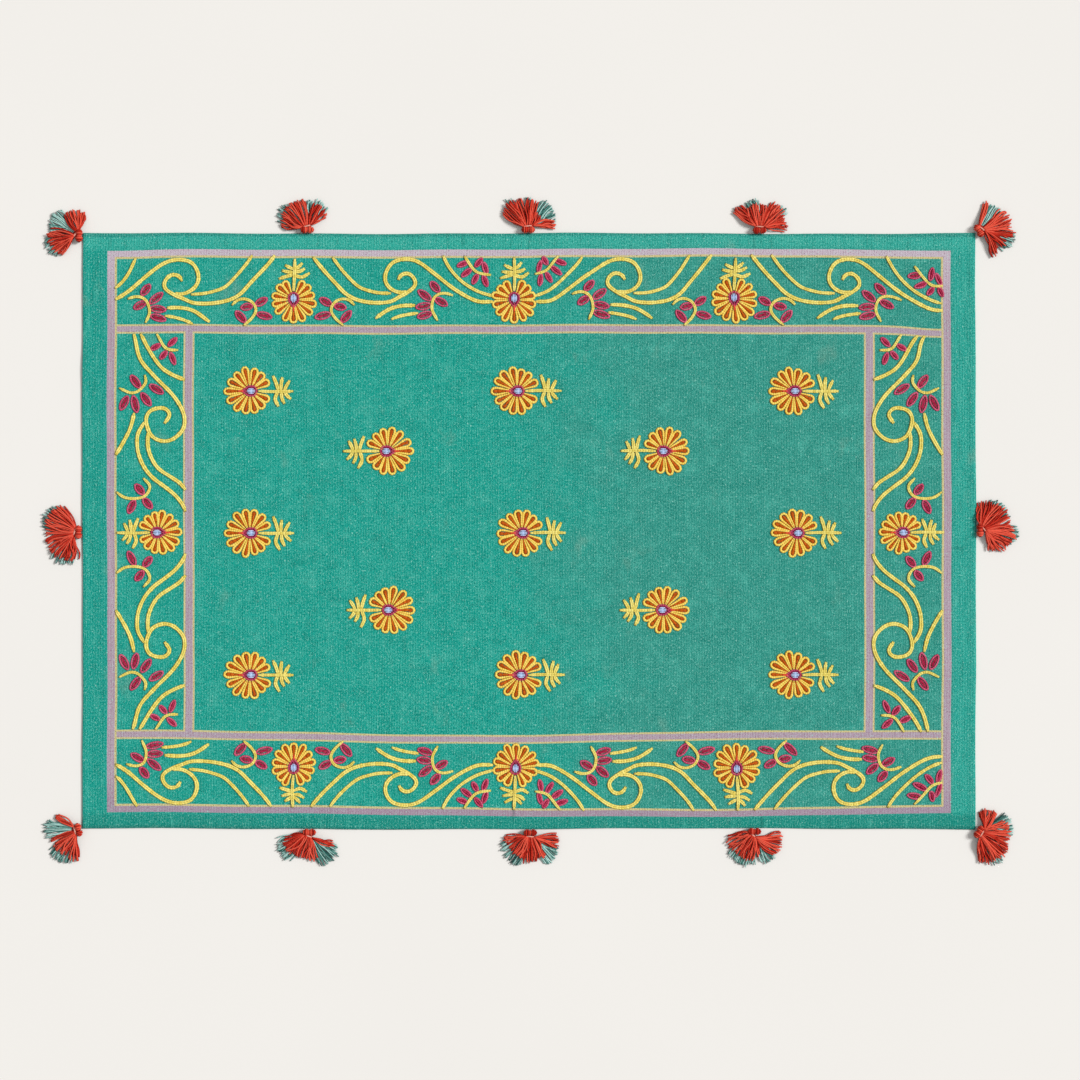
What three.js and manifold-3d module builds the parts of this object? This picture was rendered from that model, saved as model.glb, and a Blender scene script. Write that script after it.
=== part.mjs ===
// A flat-woven cotton kilim, 1.80 m by 1.20 m, lying on a floor. Flowers and scrolls sewn in thick
// yarn stand up from its face, and twelve yarn tassels are sewn round its edge.
// Millimetres, +Z up. The origin is the middle of the cloth's underside, +X runs along the length
// and +Y towards the back edge.
import * as THREE from "three";
import { mergeVertices } from "three/addons/utils/BufferGeometryUtils.js";
import Module from "manifold-3d";

const wasm = await Module();
wasm.setup();

// Driving dimensions of the cloth
const LENGTH = 1800;
const WIDTH = 1200;
const THICKNESS = 3;
const HEM_DEPTH = 12;
const HEM_RISE = 1;
const EDGE_STEP = 75;

// The edges wander a little from straight, as a woven cloth's do: two waves on each edge,
// with their height, how many fit along the edge, and where each starts
const EDGE_WAVES = {
  back: [{ height: 0.9, count: 2, start: 0.1 }, { height: 0.6, count: 7, start: 0.4 }],
  front: [{ height: 1.2, count: 1.5, start: 0.7 }, { height: 0.6, count: 6, start: 0.2 }],
  left: [{ height: 0.8, count: 1.5, start: 0.3 }, { height: 0.4, count: 5, start: 0.6 }],
  right: [{ height: 0.8, count: 1, start: 0.8 }, { height: 0.5, count: 4, start: 0.1 }],
};

// Sewn yarn: how wide its lines are, how far they stand up, and how deep they sit in the cloth
const YARN_WIDTH = 8.5;
const YARN_RISE = 2.2;
const YARN_SINK = 0.5;

// The flower: petals round a centre, with the sprig's stem on one side
const PETALS = 14;
const FLOWER_RADIUS = 50;
const NOTCH_RADIUS = 41;
const FLOWER_RISE = 3;
const STEM_START = 30;
const STEM_END = 84;

// The band that holds the scrolls, and the scroll repeat from one flower to the next
const BAND_END = 830;
const BACK_ROW = 465;
const FRONT_ROW = -474;
const SIDE_ROW = 764;
const SIDE_FLOWER_Y = -3;
const REPEAT_MIDDLE = -30;
const HALF_REPEAT = 444.6;

// Yarn lines between a flower and the next, [along, out] from the flower, out towards the edge
const SCROLL_LINES = {
  archAndCurl: [[36, 81], [84, 35], [132, 0], [180, -5], [216, 6], [249, 29], [247, 45], [229, 54], [213, 40]],
  lowerArch: [[73, 84], [107, 49], [152, 20], [200, 14]],
  scroll: [[402, -4], [367, -1], [325, 22], [256, 76], [230, 82], [197, 70], [184, 38], [198, 17], [235, 16]],
  lowerScroll: [[402, 9], [371, 18], [325, 52], [304, 85]],
};

// Yarn lines of half a short side, [up, in] from its flower: up along the side, in from the band's middle
const SIDE_LINES = {
  longScroll: [[401, -30], [355, -22], [318, 6], [278, 44], [248, 65], [218, 67], [184, 27], [198, 3], [222, -9],
    [250, 18], [230, 35], [221, 26]],
  cornerArch: [[401, -14], [370, -3], [340, 18], [304, 67]],
  nearStrand: [[222, -9], [185, -26], [145, -19], [87, 37], [46, 69]],
  innerStrand: [[199, -3], [185, -6], [155, 3], [105, 59], [89, 69]],
};

// Flowers sewn on the field and in the band: place, which way the sprig points in degrees, and a size,
// as those in the band are a little smaller
const FLOWERS = [
  { x: -564, y: 282, turn: 0 }, { x: -26, y: 282, turn: 0 }, { x: 532, y: 282, turn: 0 },
  { x: -284, y: 161, turn: 180 }, { x: 274, y: 161, turn: 180 },
  { x: -564, y: -4, turn: 0 }, { x: -16, y: -4, turn: 0 }, { x: 538, y: -4, turn: 0 },
  { x: -280, y: -159, turn: 180 }, { x: 272, y: -159, turn: 180 },
  { x: -564, y: -290, turn: 0 }, { x: -20, y: -290, turn: 0 }, { x: 532, y: -290, turn: 0 },
  { x: REPEAT_MIDDLE - HALF_REPEAT, y: BACK_ROW, turn: 90, size: 0.94 },
  { x: REPEAT_MIDDLE, y: BACK_ROW, turn: 90, size: 0.95 },
  { x: REPEAT_MIDDLE + HALF_REPEAT - 2, y: BACK_ROW + 2, turn: 90, size: 0.97 },
  { x: REPEAT_MIDDLE - HALF_REPEAT + 1, y: FRONT_ROW + 1, turn: -90, size: 0.94 },
  { x: REPEAT_MIDDLE + 4, y: FRONT_ROW, turn: -90, size: 0.95 },
  { x: REPEAT_MIDDLE + HALF_REPEAT + 4, y: FRONT_ROW - 2, turn: -90, size: 0.96 },
  { x: -SIDE_ROW + 18, y: SIDE_FLOWER_Y, turn: 180, size: 0.93 },
  { x: SIDE_ROW - 14, y: SIDE_FLOWER_Y, turn: 0, size: 0.89 },
];

// Tassel: a head against the cloth's edge, a bound neck, and a skirt of strands whose reach is measured
// from the skirt's middle. Both offsets are from the head's middle.
const GAP = 0.3;
const HEAD = [
  { radius: 0, height: 0 }, { radius: 5.2, height: 0 }, { radius: 6.6, height: 4 }, { radius: 7.8, height: 9 },
  { radius: 6.2, height: 14 }, { radius: 0, height: 16.5 },
];
const HEAD_STRETCH = 1.8;
const HEAD_SIDES = 8;
const NECK = { radial: 6, sideways: 12, height: 12.5, offset: 8 };
const SKIRT_OFFSET = 12;
const STRAND_PITCH = 12;
const STRAND_HEIGHT = 3.2;
const STRAND_WIDTHS = [1, 3.6, 6.6];
const ROOT_SHARE = 0.7;
const CURVE_START = 0.4;
const CURVE_SHARE = 0.7;
const REACH_WOBBLE = 0.05;

// Heights of a strand's underside at its root, halfway and at its tip: grey strands lie on the
// floor, red ones come down over them or, where none lie below, to the floor
const LIE = {
  under: [2, 0, 0],
  over: [7, 7, 3.4],
  down: [7, 5.6, 0],
};

// Tassels: the point of the outline each is sewn to, the way its head faces, the way its neck leans, and its
// lobes of strands, [lie, from, to, reach] with angles in degrees from +X
const TASSELS = [
  { name: "tassel_corner_back_left", x: -900, y: 594, facing: 180, lean: 141, lobes: [
    ["down", 58, 124, 44], ["under", 126, 174, 57], ["over", 176, 241, 56], ["under", 190, 232, 66]] },
  { name: "tassel_back_left", x: -447, y: 600, facing: 90, lean: 106, lobes: [
    ["over", 93, 186, 50], ["under", 135, 172, 62], ["under", 74, 88, 52], ["over", 22, 70, 48], ["under", 36, 68, 56]] },
  { name: "tassel_back_middle", x: -2, y: 600, facing: 90, lean: 96, lobes: [
    ["down", 103, 160, 57], ["under", 82, 96, 55], ["over", 64, 92, 51], ["under", 10, 58, 60],
    ["down", -9, 7, 57], ["over", 22, 60, 30]] },
  { name: "tassel_back_right", x: 464, y: 600, facing: 90, lean: 84, lobes: [
    ["down", 132, 160, 59], ["over", 72, 130, 43], ["under", 94, 128, 54], ["over", 14, 64, 53],
    ["under", 20, 44, 60], ["down", -10, 11, 54]] },
  { name: "tassel_corner_back_right", x: 900, y: 600, facing: 31, lean: 50, lobes: [
    ["down", 76, 90, 50], ["under", 28, 72, 50], ["over", -20, 40, 57], ["under", -45, -12, 70],
    ["over", -50, -22, 60], ["down", -76, -57, 64]] },
  { name: "tassel_right", x: 900, y: 2, facing: 0, lean: 40, lobes: [
    ["down", 68, 104, 52], ["under", 22, 66, 58], ["over", 0, 66, 54], ["over", -60, -4, 63],
    ["under", -34, -4, 70], ["down", -82, -62, 52]] },
  { name: "tassel_corner_front_right", x: 900, y: -600, facing: -33, lean: -33, lobes: [
    ["down", 56, 98, 52], ["under", 2, 45, 63], ["over", -14, 36, 54], ["over", -56, -20, 58],
    ["down", -101, -58, 56], ["under", -56, -32, 64]] },
  { name: "tassel_front_right", x: 454, y: -600, facing: 270, lean: 230, lobes: [
    ["over", 181, 226, 48], ["under", 218, 278, 61], ["over", 229, 292, 48], ["under", 292, 332, 64],
    ["down", 334, 365, 62]] },
  { name: "tassel_front_middle", x: 3, y: -600, facing: 270, lean: 263, lobes: [
    ["down", 176, 192, 54], ["under", 194, 248, 62], ["over", 192, 245, 44], ["over", 248, 296, 48],
    ["under", 299, 340, 65], ["down", 344, 364, 58]] },
  { name: "tassel_front_left", x: -442, y: -600, facing: 270, lean: 246, lobes: [
    ["over", 179, 222, 50], ["under", 187, 230, 64], ["over", 222, 276, 44], ["down", 278, 295, 48],
    ["under", 298, 338, 68], ["down", 341, 354, 58]] },
  { name: "tassel_corner_front_left", x: -900, y: -600, facing: 195, lean: 195, lobes: [
    ["down", 130, 148, 46], ["under", 156, 192, 58], ["down", 196, 214, 48], ["over", 217, 254, 52],
    ["under", 220, 262, 68], ["down", 266, 284, 60]] },
  { name: "tassel_left", x: -900, y: -3, facing: 180, lean: 162, lobes: [
    ["over", 114, 180, 57], ["under", 124, 172, 66], ["over", 190, 276, 58], ["under", 226, 268, 70]] },
];

const clothYarn = new THREE.MeshStandardMaterial({ color: 0x2a9b87, roughness: 0.92, metalness: 0 });
const tasselYarn = new THREE.MeshStandardMaterial({ color: 0xd93c28, roughness: 0.9, metalness: 0 });

// Closed solid of a geometry, its shared points merged and its folded-up triangles left out
function solidOf(geometry) {
  geometry.deleteAttribute("normal");
  geometry.deleteAttribute("uv");
  const merged = mergeVertices(geometry, 1e-4);
  const corners = [];
  for (let i = 0; i < merged.index.count; i += 3) {
    const [a, b, c] = [merged.index.getX(i), merged.index.getX(i + 1), merged.index.getX(i + 2)];
    if (a !== b && b !== c && c !== a) {
      corners.push(a, b, c);
    }
  }
  return new wasm.Manifold(new wasm.Mesh({
    numProp: 3,
    vertProperties: new Float32Array(merged.attributes.position.array),
    triVerts: new Uint32Array(corners),
  }));
}

function meshOf(solid, name, material) {
  const { vertProperties, triVerts } = solid.getMesh();
  const geometry = new THREE.BufferGeometry();
  geometry.setAttribute("position", new THREE.BufferAttribute(new Float32Array(vertProperties), 3));
  geometry.setIndex(new THREE.BufferAttribute(new Uint32Array(triVerts), 1));
  geometry.computeVertexNormals();
  const mesh = new THREE.Mesh(geometry, material);
  mesh.name = name;
  return mesh;
}

function joined(solids) {
  return solids.reduce((whole, solid) => whole.add(solid));
}

// A yarn or strand lying along its stations: three sides, flat underneath, with a ridge on top
function ridge(stations, height) {
  const section = new THREE.Shape([
    new THREE.Vector2(-1, 0), new THREE.Vector2(1, 0), new THREE.Vector2(0, 1),
  ]);
  const steps = stations.length - 1;
  const geometry = new THREE.ExtrudeGeometry(section, { depth: steps, steps, bevelEnabled: false });
  const points = geometry.attributes.position;
  for (let i = 0; i < points.count; i += 1) {
    const { x, y, z, width, heading } = stations[Math.round(points.getZ(i))];
    const across = points.getX(i) * width / 2;
    points.setXYZ(
      i,
      x - Math.sin(heading) * across,
      y + Math.cos(heading) * across,
      z + points.getY(i) * height,
    );
  }
  return solidOf(geometry);
}

// How far an edge stands out from straight, at a share from 0 to 1 along it
function edgeWave(edge, share) {
  return EDGE_WAVES[edge].reduce(
    (sum, { height, count, start }) => sum + height * Math.sin(2 * Math.PI * (count * share + start)), 0,
  );
}

// A point of the outline, from its place on the straight rectangle
function onOutline(x, y) {
  const across = x / LENGTH + 0.5;
  const up = y / WIDTH + 0.5;
  const outX = THREE.MathUtils.lerp(-edgeWave("left", up), edgeWave("right", up), across);
  const outY = THREE.MathUtils.lerp(-edgeWave("front", across), edgeWave("back", across), up);
  return new THREE.Vector2(x + outX, y + outY);
}

function outlinePoints() {
  const points = [];
  for (let x = -LENGTH / 2; x < LENGTH / 2; x += EDGE_STEP) {
    points.push(onOutline(x, -WIDTH / 2));
  }
  const sideStep = WIDTH / Math.round(WIDTH / EDGE_STEP);
  for (let y = -WIDTH / 2; y < WIDTH / 2; y += sideStep) {
    points.push(onOutline(LENGTH / 2, y));
  }
  for (let x = LENGTH / 2; x > -LENGTH / 2; x -= EDGE_STEP) {
    points.push(onOutline(x, WIDTH / 2));
  }
  for (let y = WIDTH / 2; y > -WIDTH / 2; y -= sideStep) {
    points.push(onOutline(-LENGTH / 2, y));
  }
  return points;
}

// A short end's hem: the outline's points there, closed by a straight line at the hem's depth
function hemPoints(side) {
  const outer = outlinePoints().filter((point) => point.x * side > LENGTH / 2 - HEM_DEPTH);
  outer.sort((a, b) => (a.y - b.y) * side);
  const [first, last] = [outer[0], outer[outer.length - 1]];
  const innerX = side * (LENGTH / 2 - HEM_DEPTH);
  return [...outer, new THREE.Vector2(innerX, last.y), new THREE.Vector2(innerX, first.y)];
}

function slab(points, bottom, top) {
  const geometry = new THREE.ExtrudeGeometry(new THREE.Shape(points), { depth: top - bottom, bevelEnabled: false });
  geometry.translate(0, 0, bottom);
  return solidOf(geometry);
}

// A line of sewn yarn through the points given, cut off where it would leave the band
function yarnLine(points) {
  const curve = new THREE.CatmullRomCurve3(points.map(([x, y]) => new THREE.Vector3(x, y, 0)));
  const stations = points.map(([x, y], i) => {
    const along = curve.getTangent(i / (points.length - 1));
    return { x, y, z: THICKNESS - YARN_SINK, width: YARN_WIDTH, heading: Math.atan2(along.y, along.x) };
  }).filter((station) => Math.abs(station.x) < BAND_END);
  return stations.length > 1 ? [ridge(stations, YARN_RISE + YARN_SINK)] : [];
}

// The yarn lines of both long borders: the repeat runs both ways from the two flowers that start it
function borderScrolls() {
  const lines = [];
  for (const { row, out } of [{ row: BACK_ROW, out: 1 }, { row: FRONT_ROW, out: -1 }]) {
    for (const flowerSide of [-1, 1]) {
      for (const way of [-1, 1]) {
        const flowerX = REPEAT_MIDDLE + flowerSide * HALF_REPEAT;
        for (const line of Object.values(SCROLL_LINES)) {
          lines.push(...yarnLine(line.map(([u, w]) => [flowerX + way * u, row + out * w])));
        }
      }
    }
  }
  return lines;
}

// The yarn lines of both short borders: each half mirrors the other about the flower
function sideScrolls() {
  const lines = [];
  for (const side of [-1, 1]) {
    for (const way of [-1, 1]) {
      for (const line of Object.values(SIDE_LINES)) {
        lines.push(...yarnLine(line.map(([up, into]) => [
          side * (SIDE_ROW - into), SIDE_FLOWER_Y + way * up,
        ])));
      }
    }
  }
  return lines;
}

// A raised flower: a low cone whose rim steps in and out, a tip and a notch for each petal
function flowerHead({ x, y, turn, size = 1 }) {
  const sides = 2 * PETALS;
  const geometry = new THREE.ConeGeometry(1, FLOWER_RISE + YARN_SINK, sides);
  geometry.rotateX(Math.PI / 2);
  const points = geometry.attributes.position;
  for (let i = 0; i < points.count; i += 1) {
    const side = Math.round(Math.atan2(points.getY(i), points.getX(i)) / (2 * Math.PI / sides));
    const radius = size * (side % 2 === 0 ? FLOWER_RADIUS : NOTCH_RADIUS);
    points.setXY(i, points.getX(i) * radius, points.getY(i) * radius);
  }
  geometry.rotateZ(THREE.MathUtils.degToRad(turn));
  geometry.translate(x, y, THICKNESS + (FLOWER_RISE - YARN_SINK) / 2);
  return solidOf(geometry);
}

function flowerStem({ x, y, turn }) {
  const heading = THREE.MathUtils.degToRad(turn);
  const stations = [STEM_START, STEM_END].map((reach) => ({
    x: x + reach * Math.cos(heading), y: y + reach * Math.sin(heading), z: THICKNESS - YARN_SINK,
    width: YARN_WIDTH, heading,
  }));
  return ridge(stations, YARN_RISE + YARN_SINK);
}

function kilimCloth() {
  const sheet = slab(outlinePoints(), 0, THICKNESS);
  const hems = [-1, 1].map((side) => slab(hemPoints(side), THICKNESS - YARN_SINK, THICKNESS + HEM_RISE));
  return meshOf(joined([
    sheet, ...hems, ...borderScrolls(), ...sideScrolls(), ...FLOWERS.map(flowerHead), ...FLOWERS.map(flowerStem),
  ]), "kilim_cloth", clothYarn);
}

// A tassel's head: an oval barrel, its long side along the cloth's edge
function tasselHead(centre, facing) {
  const profile = HEAD.map(({ radius, height }) => new THREE.Vector2(radius, height));
  const geometry = new THREE.LatheGeometry(profile, HEAD_SIDES);
  geometry.rotateX(Math.PI / 2);
  geometry.rotateZ(Math.PI / 2);
  geometry.scale(1, HEAD_STRETCH, 1);
  geometry.rotateZ(facing);
  geometry.translate(centre.x, centre.y, 0);
  return solidOf(geometry);
}

function tasselNeck(neck, lean) {
  const geometry = new THREE.SphereGeometry(0.5, 8, 4);
  geometry.rotateX(Math.PI / 2);
  geometry.scale(2 * NECK.radial, 2 * NECK.sideways, NECK.height);
  geometry.rotateZ(lean);
  geometry.translate(neck.x, neck.y, NECK.height / 2);
  return solidOf(geometry);
}

// One strand: it leaves the side of the neck that it faces and bends from the lean to its own bearing
function tasselStrand(neck, skirt, lean, lie, bearing, reach) {
  const fan = bearing - lean;
  const root = new THREE.Vector2(NECK.radial * Math.cos(fan), NECK.sideways * Math.sin(fan))
    .multiplyScalar(ROOT_SHARE).rotateAround(new THREE.Vector2(), lean);
  const bend = new THREE.Vector2(CURVE_START * reach, 0).rotateAround(new THREE.Vector2(), lean + CURVE_SHARE * fan);
  const tip = new THREE.Vector2(reach, 0).rotateAround(new THREE.Vector2(), bearing);
  const curve = new THREE.QuadraticBezierCurve(root.add(neck), bend.add(skirt), tip.add(skirt));
  const last = STRAND_WIDTHS.length - 1;
  const stations = STRAND_WIDTHS.map((width, i) => {
    const place = curve.getPoint(i / last);
    const along = curve.getTangent(i / last);
    return { x: place.x, y: place.y, z: LIE[lie][i], width, heading: Math.atan2(along.y, along.x) };
  });
  return ridge(stations, STRAND_HEIGHT);
}

// The nearest the head's foot may come to the cloth's edge, measured at the height of that edge
function seatDistance(x) {
  const edgeHeight = THICKNESS + (Math.abs(x) === LENGTH / 2 ? HEM_RISE : 0);
  return THREE.MathUtils.lerp(HEAD[1].radius, HEAD[2].radius, edgeHeight / HEAD[2].height) + GAP;
}

function tassel({ name, x, y, facing, lean, lobes }) {
  const sewnAt = onOutline(x, y);
  const headTurn = THREE.MathUtils.degToRad(facing);
  const neckTurn = THREE.MathUtils.degToRad(lean);
  const distance = seatDistance(x);
  const head = new THREE.Vector2(
    sewnAt.x + distance * Math.cos(headTurn), sewnAt.y + distance * Math.sin(headTurn),
  );
  const [neck, skirt] = [NECK.offset, SKIRT_OFFSET].map((offset) => new THREE.Vector2(
    head.x + offset * Math.cos(neckTurn), head.y + offset * Math.sin(neckTurn),
  ));
  const strands = lobes.flatMap(([lie, from, to, reach]) => {
    const count = Math.max(2, Math.round((to - from) / STRAND_PITCH));
    return Array.from({ length: count }, (_, i) => {
      const bearing = THREE.MathUtils.degToRad(from + (i + 0.5) * (to - from) / count);
      const uneven = 1 + REACH_WOBBLE * Math.sin(5 * i + from);
      return tasselStrand(neck, skirt, neckTurn, lie, bearing, reach * uneven);
    });
  });
  return meshOf(
    joined([tasselHead(head, headTurn), tasselNeck(neck, neckTurn), ...strands]), name, tasselYarn,
  );
}

const kilim = new THREE.Group();
kilim.name = "cotton_kilim";
kilim.add(kilimCloth());
TASSELS.forEach((row) => kilim.add(tassel(row)));

export default kilim;
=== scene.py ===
# %% [markdown]
# # A cotton kilim with sewn flowers and yarn tassels
# The real rug is a thin, flat-woven cotton cloth, 1.80 m by 1.20 m, lying on a floor. Its border
# lines are dyed into the threads. Flowers, ferns, scrolls and leaf sprigs are chain-stitched on top
# in thick yarn, and twelve yarn tassels are sewn round the edge. The frame that is loaded first is
# the same rug in plain solids. The cloth and the tassels made here take their place.

# %% Load the frame
import math

import bmesh
import bpy
import numpy as np
from mathutils import Matrix


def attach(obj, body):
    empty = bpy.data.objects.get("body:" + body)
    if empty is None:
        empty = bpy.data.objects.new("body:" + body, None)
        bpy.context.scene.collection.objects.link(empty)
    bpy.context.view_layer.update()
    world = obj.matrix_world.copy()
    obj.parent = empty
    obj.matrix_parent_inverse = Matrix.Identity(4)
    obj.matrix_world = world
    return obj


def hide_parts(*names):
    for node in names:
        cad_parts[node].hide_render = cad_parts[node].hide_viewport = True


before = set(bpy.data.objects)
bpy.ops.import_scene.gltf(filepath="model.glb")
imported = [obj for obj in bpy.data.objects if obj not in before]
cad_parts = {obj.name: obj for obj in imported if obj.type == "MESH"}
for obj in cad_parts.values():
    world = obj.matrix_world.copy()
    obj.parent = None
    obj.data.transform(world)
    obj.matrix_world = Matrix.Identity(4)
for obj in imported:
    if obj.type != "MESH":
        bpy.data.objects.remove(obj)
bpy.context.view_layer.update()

# %% Units, seed and the cloth's own sizes
MM = 0.001
SEED = 1207
draws = np.random.default_rng(SEED)

LENGTH = 1800 * MM
WIDTH = 1200 * MM
THICKNESS = 3 * MM
HEM_DEPTH = 12 * MM
HEM_RISE = 1 * MM

# %% [markdown]
# ## Camera
# The rug was seen from straight above, with its back edge at the top of the picture. A long lens
# high over the floor keeps its sides parallel. The height is worked out from how much floor the
# square picture takes in, and the camera stands a little right of and in front of the middle.

# %% Camera over the rug
LENS = 85
SENSOR = 36
SEEN_WIDTH = 2176.4 * MM
CAMERA_RIGHT = 22 * MM
CAMERA_FRONT = -18 * MM


def new_object(name, data):
    """An object made of this data, linked to the scene."""
    made = bpy.data.objects.new(name, data)
    bpy.context.scene.collection.objects.link(made)
    return made


camera_data = bpy.data.cameras.new("camera_above")
camera_data.lens = LENS
camera_data.sensor_width = SENSOR
camera = new_object("camera_above", camera_data)
camera.location = (CAMERA_RIGHT, CAMERA_FRONT, THICKNESS + SEEN_WIDTH * LENS / SENSOR)
bpy.context.scene.camera = camera
bpy.context.scene.view_settings.view_transform = "Standard"
print("camera height, metres:", round(camera.location.z, 3))

# %% [markdown]
# ## Light and floor
# The rug lies on a warm white floor in even daylight, and the soft shadows of its tassels fall to
# the left. A broad, even lamp on the right gives those shadows, and a pale world fills them. Colours
# are written as the eye sees them on a screen, and a small function turns them into the linear
# values that Blender mixes.

# %% Colours as seen
def seen(red, green, blue):
    """Linear colour of a screen colour given in steps of 0 to 255."""
    def linear(step):
        share = step / 255
        return share / 12.92 if share <= 0.04045 else ((share + 0.055) / 1.055) ** 2.4
    return (linear(red), linear(green), linear(blue), 1.0)


# %% Lamp and world
KEY_HEIGHT = 40
KEY_BEARING = 17
KEY_SOFTNESS = 18
KEY_STRENGTH = 2.95
SKY_STRENGTH = 0.43

key_data = bpy.data.lights.new("key_lamp", "SUN")
key_data.energy = KEY_STRENGTH
key_data.angle = math.radians(KEY_SOFTNESS)
key = new_object("key_lamp", key_data)
key.rotation_euler = (0, math.radians(90 - KEY_HEIGHT), math.radians(KEY_BEARING))

world = bpy.data.worlds.new("pale_daylight")
world.use_nodes = True
background = world.node_tree.nodes["Background"]
background.inputs["Color"].default_value = (1.0, 1.0, 1.0, 1)
background.inputs["Strength"].default_value = SKY_STRENGTH
bpy.context.scene.world = world

# %% [markdown]
# ## Helpers for materials
# Every material here is a small network of nodes on one Principled shader. A finish adds a node,
# joins its inputs and hands back its output as a value. Formulas add, subtract and multiply values,
# so that each finish further on reads as a recipe. A mask is a value from 0 to 1: the product of two
# masks is where both are, and | gives where either one is.

# %% Node helpers
class Value:
    """A node's output, which formulas use like a number."""

    def __init__(self, finish, socket):
        self.finish = finish
        self.socket = socket

    def __add__(self, other):
        return self.finish.math("ADD", self, other)

    def __sub__(self, other):
        return self.finish.math("SUBTRACT", self, other)

    def __mul__(self, other):
        return self.finish.math("MULTIPLY", self, other)

    def __or__(self, other):
        return self.finish.math("MAXIMUM", self, other)

    def __abs__(self):
        return self.finish.math("ABSOLUTE", self)


class Finish:
    """A material being built: nodes are added one by one, and each call hands back a value."""

    def __init__(self, name, roughness, sheen=0.0):
        self.material = bpy.data.materials.new(name)
        self.material.use_nodes = True
        self.tree = self.material.node_tree
        self.shader = self.tree.nodes["Principled BSDF"]
        self.shader.inputs["Roughness"].default_value = roughness
        self.shader.inputs["Specular IOR Level"].default_value = 0.1
        self.shader.inputs["Sheen Weight"].default_value = sheen
        self.shader.inputs["Sheen Roughness"].default_value = 0.5

    def feed(self, socket, value):
        if isinstance(value, Value):
            self.tree.links.new(value.socket, socket)
        else:
            socket.default_value = value

    def add(self, kind, output, inputs=None, **settings):
        """Adds a node with its settings, then feeds its inputs, given by name or number."""
        node = self.tree.nodes.new("ShaderNode" + kind)
        for setting, value in settings.items():
            setattr(node, setting, value)
        for socket, value in (inputs or {}).items():
            self.feed(node.inputs[socket], value)
        return Value(self, node.outputs[output])

    def math(self, operation, first, second=0.0):
        return self.add("Math", 0, {0: first, 1: second}, operation=operation)

    def spread(self, value, low, high, to_low=0.0, to_high=1.0):
        """Runs smoothly from to_low to to_high while value runs from low to high."""
        ranges = dict(enumerate((value, low, high, to_low, to_high)))
        return self.add("MapRange", 0, ranges, interpolation_type="SMOOTHSTEP")

    def band(self, value, low, high, soft):
        """1 where value lies between low and high, and 0 elsewhere."""
        inside_low = self.spread(value, low - soft, low + soft)
        inside_high = self.spread(value, high - soft, high + soft, 1.0, 0.0)
        return inside_low * inside_high

    def blend(self, share, first, second):
        return self.add("Mix", "Result", {"Factor": share, "A": first, "B": second}, data_type="RGBA")

    def attribute(self, name, output="Fac"):
        return self.add("Attribute", output, attribute_name=name)

    def place(self):
        return self.add("TexCoord", "Object")

    def noise(self, vector, scale, detail=2.0, rough=0.5):
        return self.add("TexNoise", "Fac", {"Vector": vector, "Scale": scale, "Detail": detail,
                                            "Roughness": rough})

    def stretched(self, place, along_x, along_y, detail, rough=0.5):
        """Noise that is as fine along x and along y as the two numbers say."""
        scale = (along_x, along_y, 1)
        scaled = self.add("Mapping", 0, {"Vector": place, "Scale": scale}, vector_type="POINT")
        return self.noise(scaled, 1.0, detail, rough)

    def parts(self, vector):
        first = self.add("SeparateXYZ", 0, {0: vector})
        return first, Value(self, first.socket.node.outputs[1])

    def bump(self, height, strength, distance):
        normal = self.add("Bump", 0, {"Strength": strength, "Distance": distance, "Height": height})
        self.feed(self.shader.inputs["Normal"], normal)

    def colour(self, value):
        self.feed(self.shader.inputs["Base Color"], value)


# %% Floor
FLOOR_SIDE = 30
FLOOR_DROP = 0.1 * MM

floor_shape = bmesh.new()
bmesh.ops.create_grid(floor_shape, x_segments=1, y_segments=1, size=FLOOR_SIDE / 2)
bmesh.ops.translate(floor_shape, verts=floor_shape.verts, vec=(0, 0, -FLOOR_DROP))
floor_mesh = bpy.data.meshes.new("studio_floor")
floor_shape.to_mesh(floor_mesh)
floor_shape.free()
floor = new_object("studio_floor", floor_mesh)
floor_paint = Finish("floor_paint", roughness=0.9)
floor_tone = floor_paint.noise(floor_paint.place(), 1.2)
floor_paint.colour(floor_paint.blend(floor_tone, seen(237, 234, 229), seen(241, 238, 233)))
floor_mesh.materials.append(floor_paint.material)

# %% [markdown]
# ## How the cloth lies
# A woven cloth is never quite straight. Its edges wander by a millimetre or so, and the border
# lines in it drift by a few more, most of all along the front edge, where the cloth sags away from
# straight. Low soft ridges run through it where it was folded. The same functions place the cloth
# and everything sewn on it, so that they always agree.

# %% Edges, drift and ridges
EDGE_WAVES = {
    "back": ((0.9, 2, 0.1), (0.6, 7, 0.4)),
    "front": ((1.2, 1.5, 0.7), (0.6, 6, 0.2)),
    "left": ((0.8, 1.5, 0.3), (0.4, 5, 0.6)),
    "right": ((0.8, 1, 0.8), (0.5, 4, 0.1)),
}

# Where the dyed lines leave straight: x and y, how far the drift reaches along x and y, and its
# shift right and up, in mm
PRINT_DRIFTS = (
    (200, -560, 480, 60, 0, -9), (420, -560, 120, 60, 0, -3), (890, -560, 90, 60, 0, 2),
    (420, 560, 200, 60, 0, 2.5), (850, 560, 90, 60, 0, -3), (-60, -410, 400, 60, 0, -9),
    (0, -410, 3000, 60, 0, -4), (830, 410, 70, 60, 0, -9), (-850, 560, 110, 60, 0, -3),
)

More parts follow.
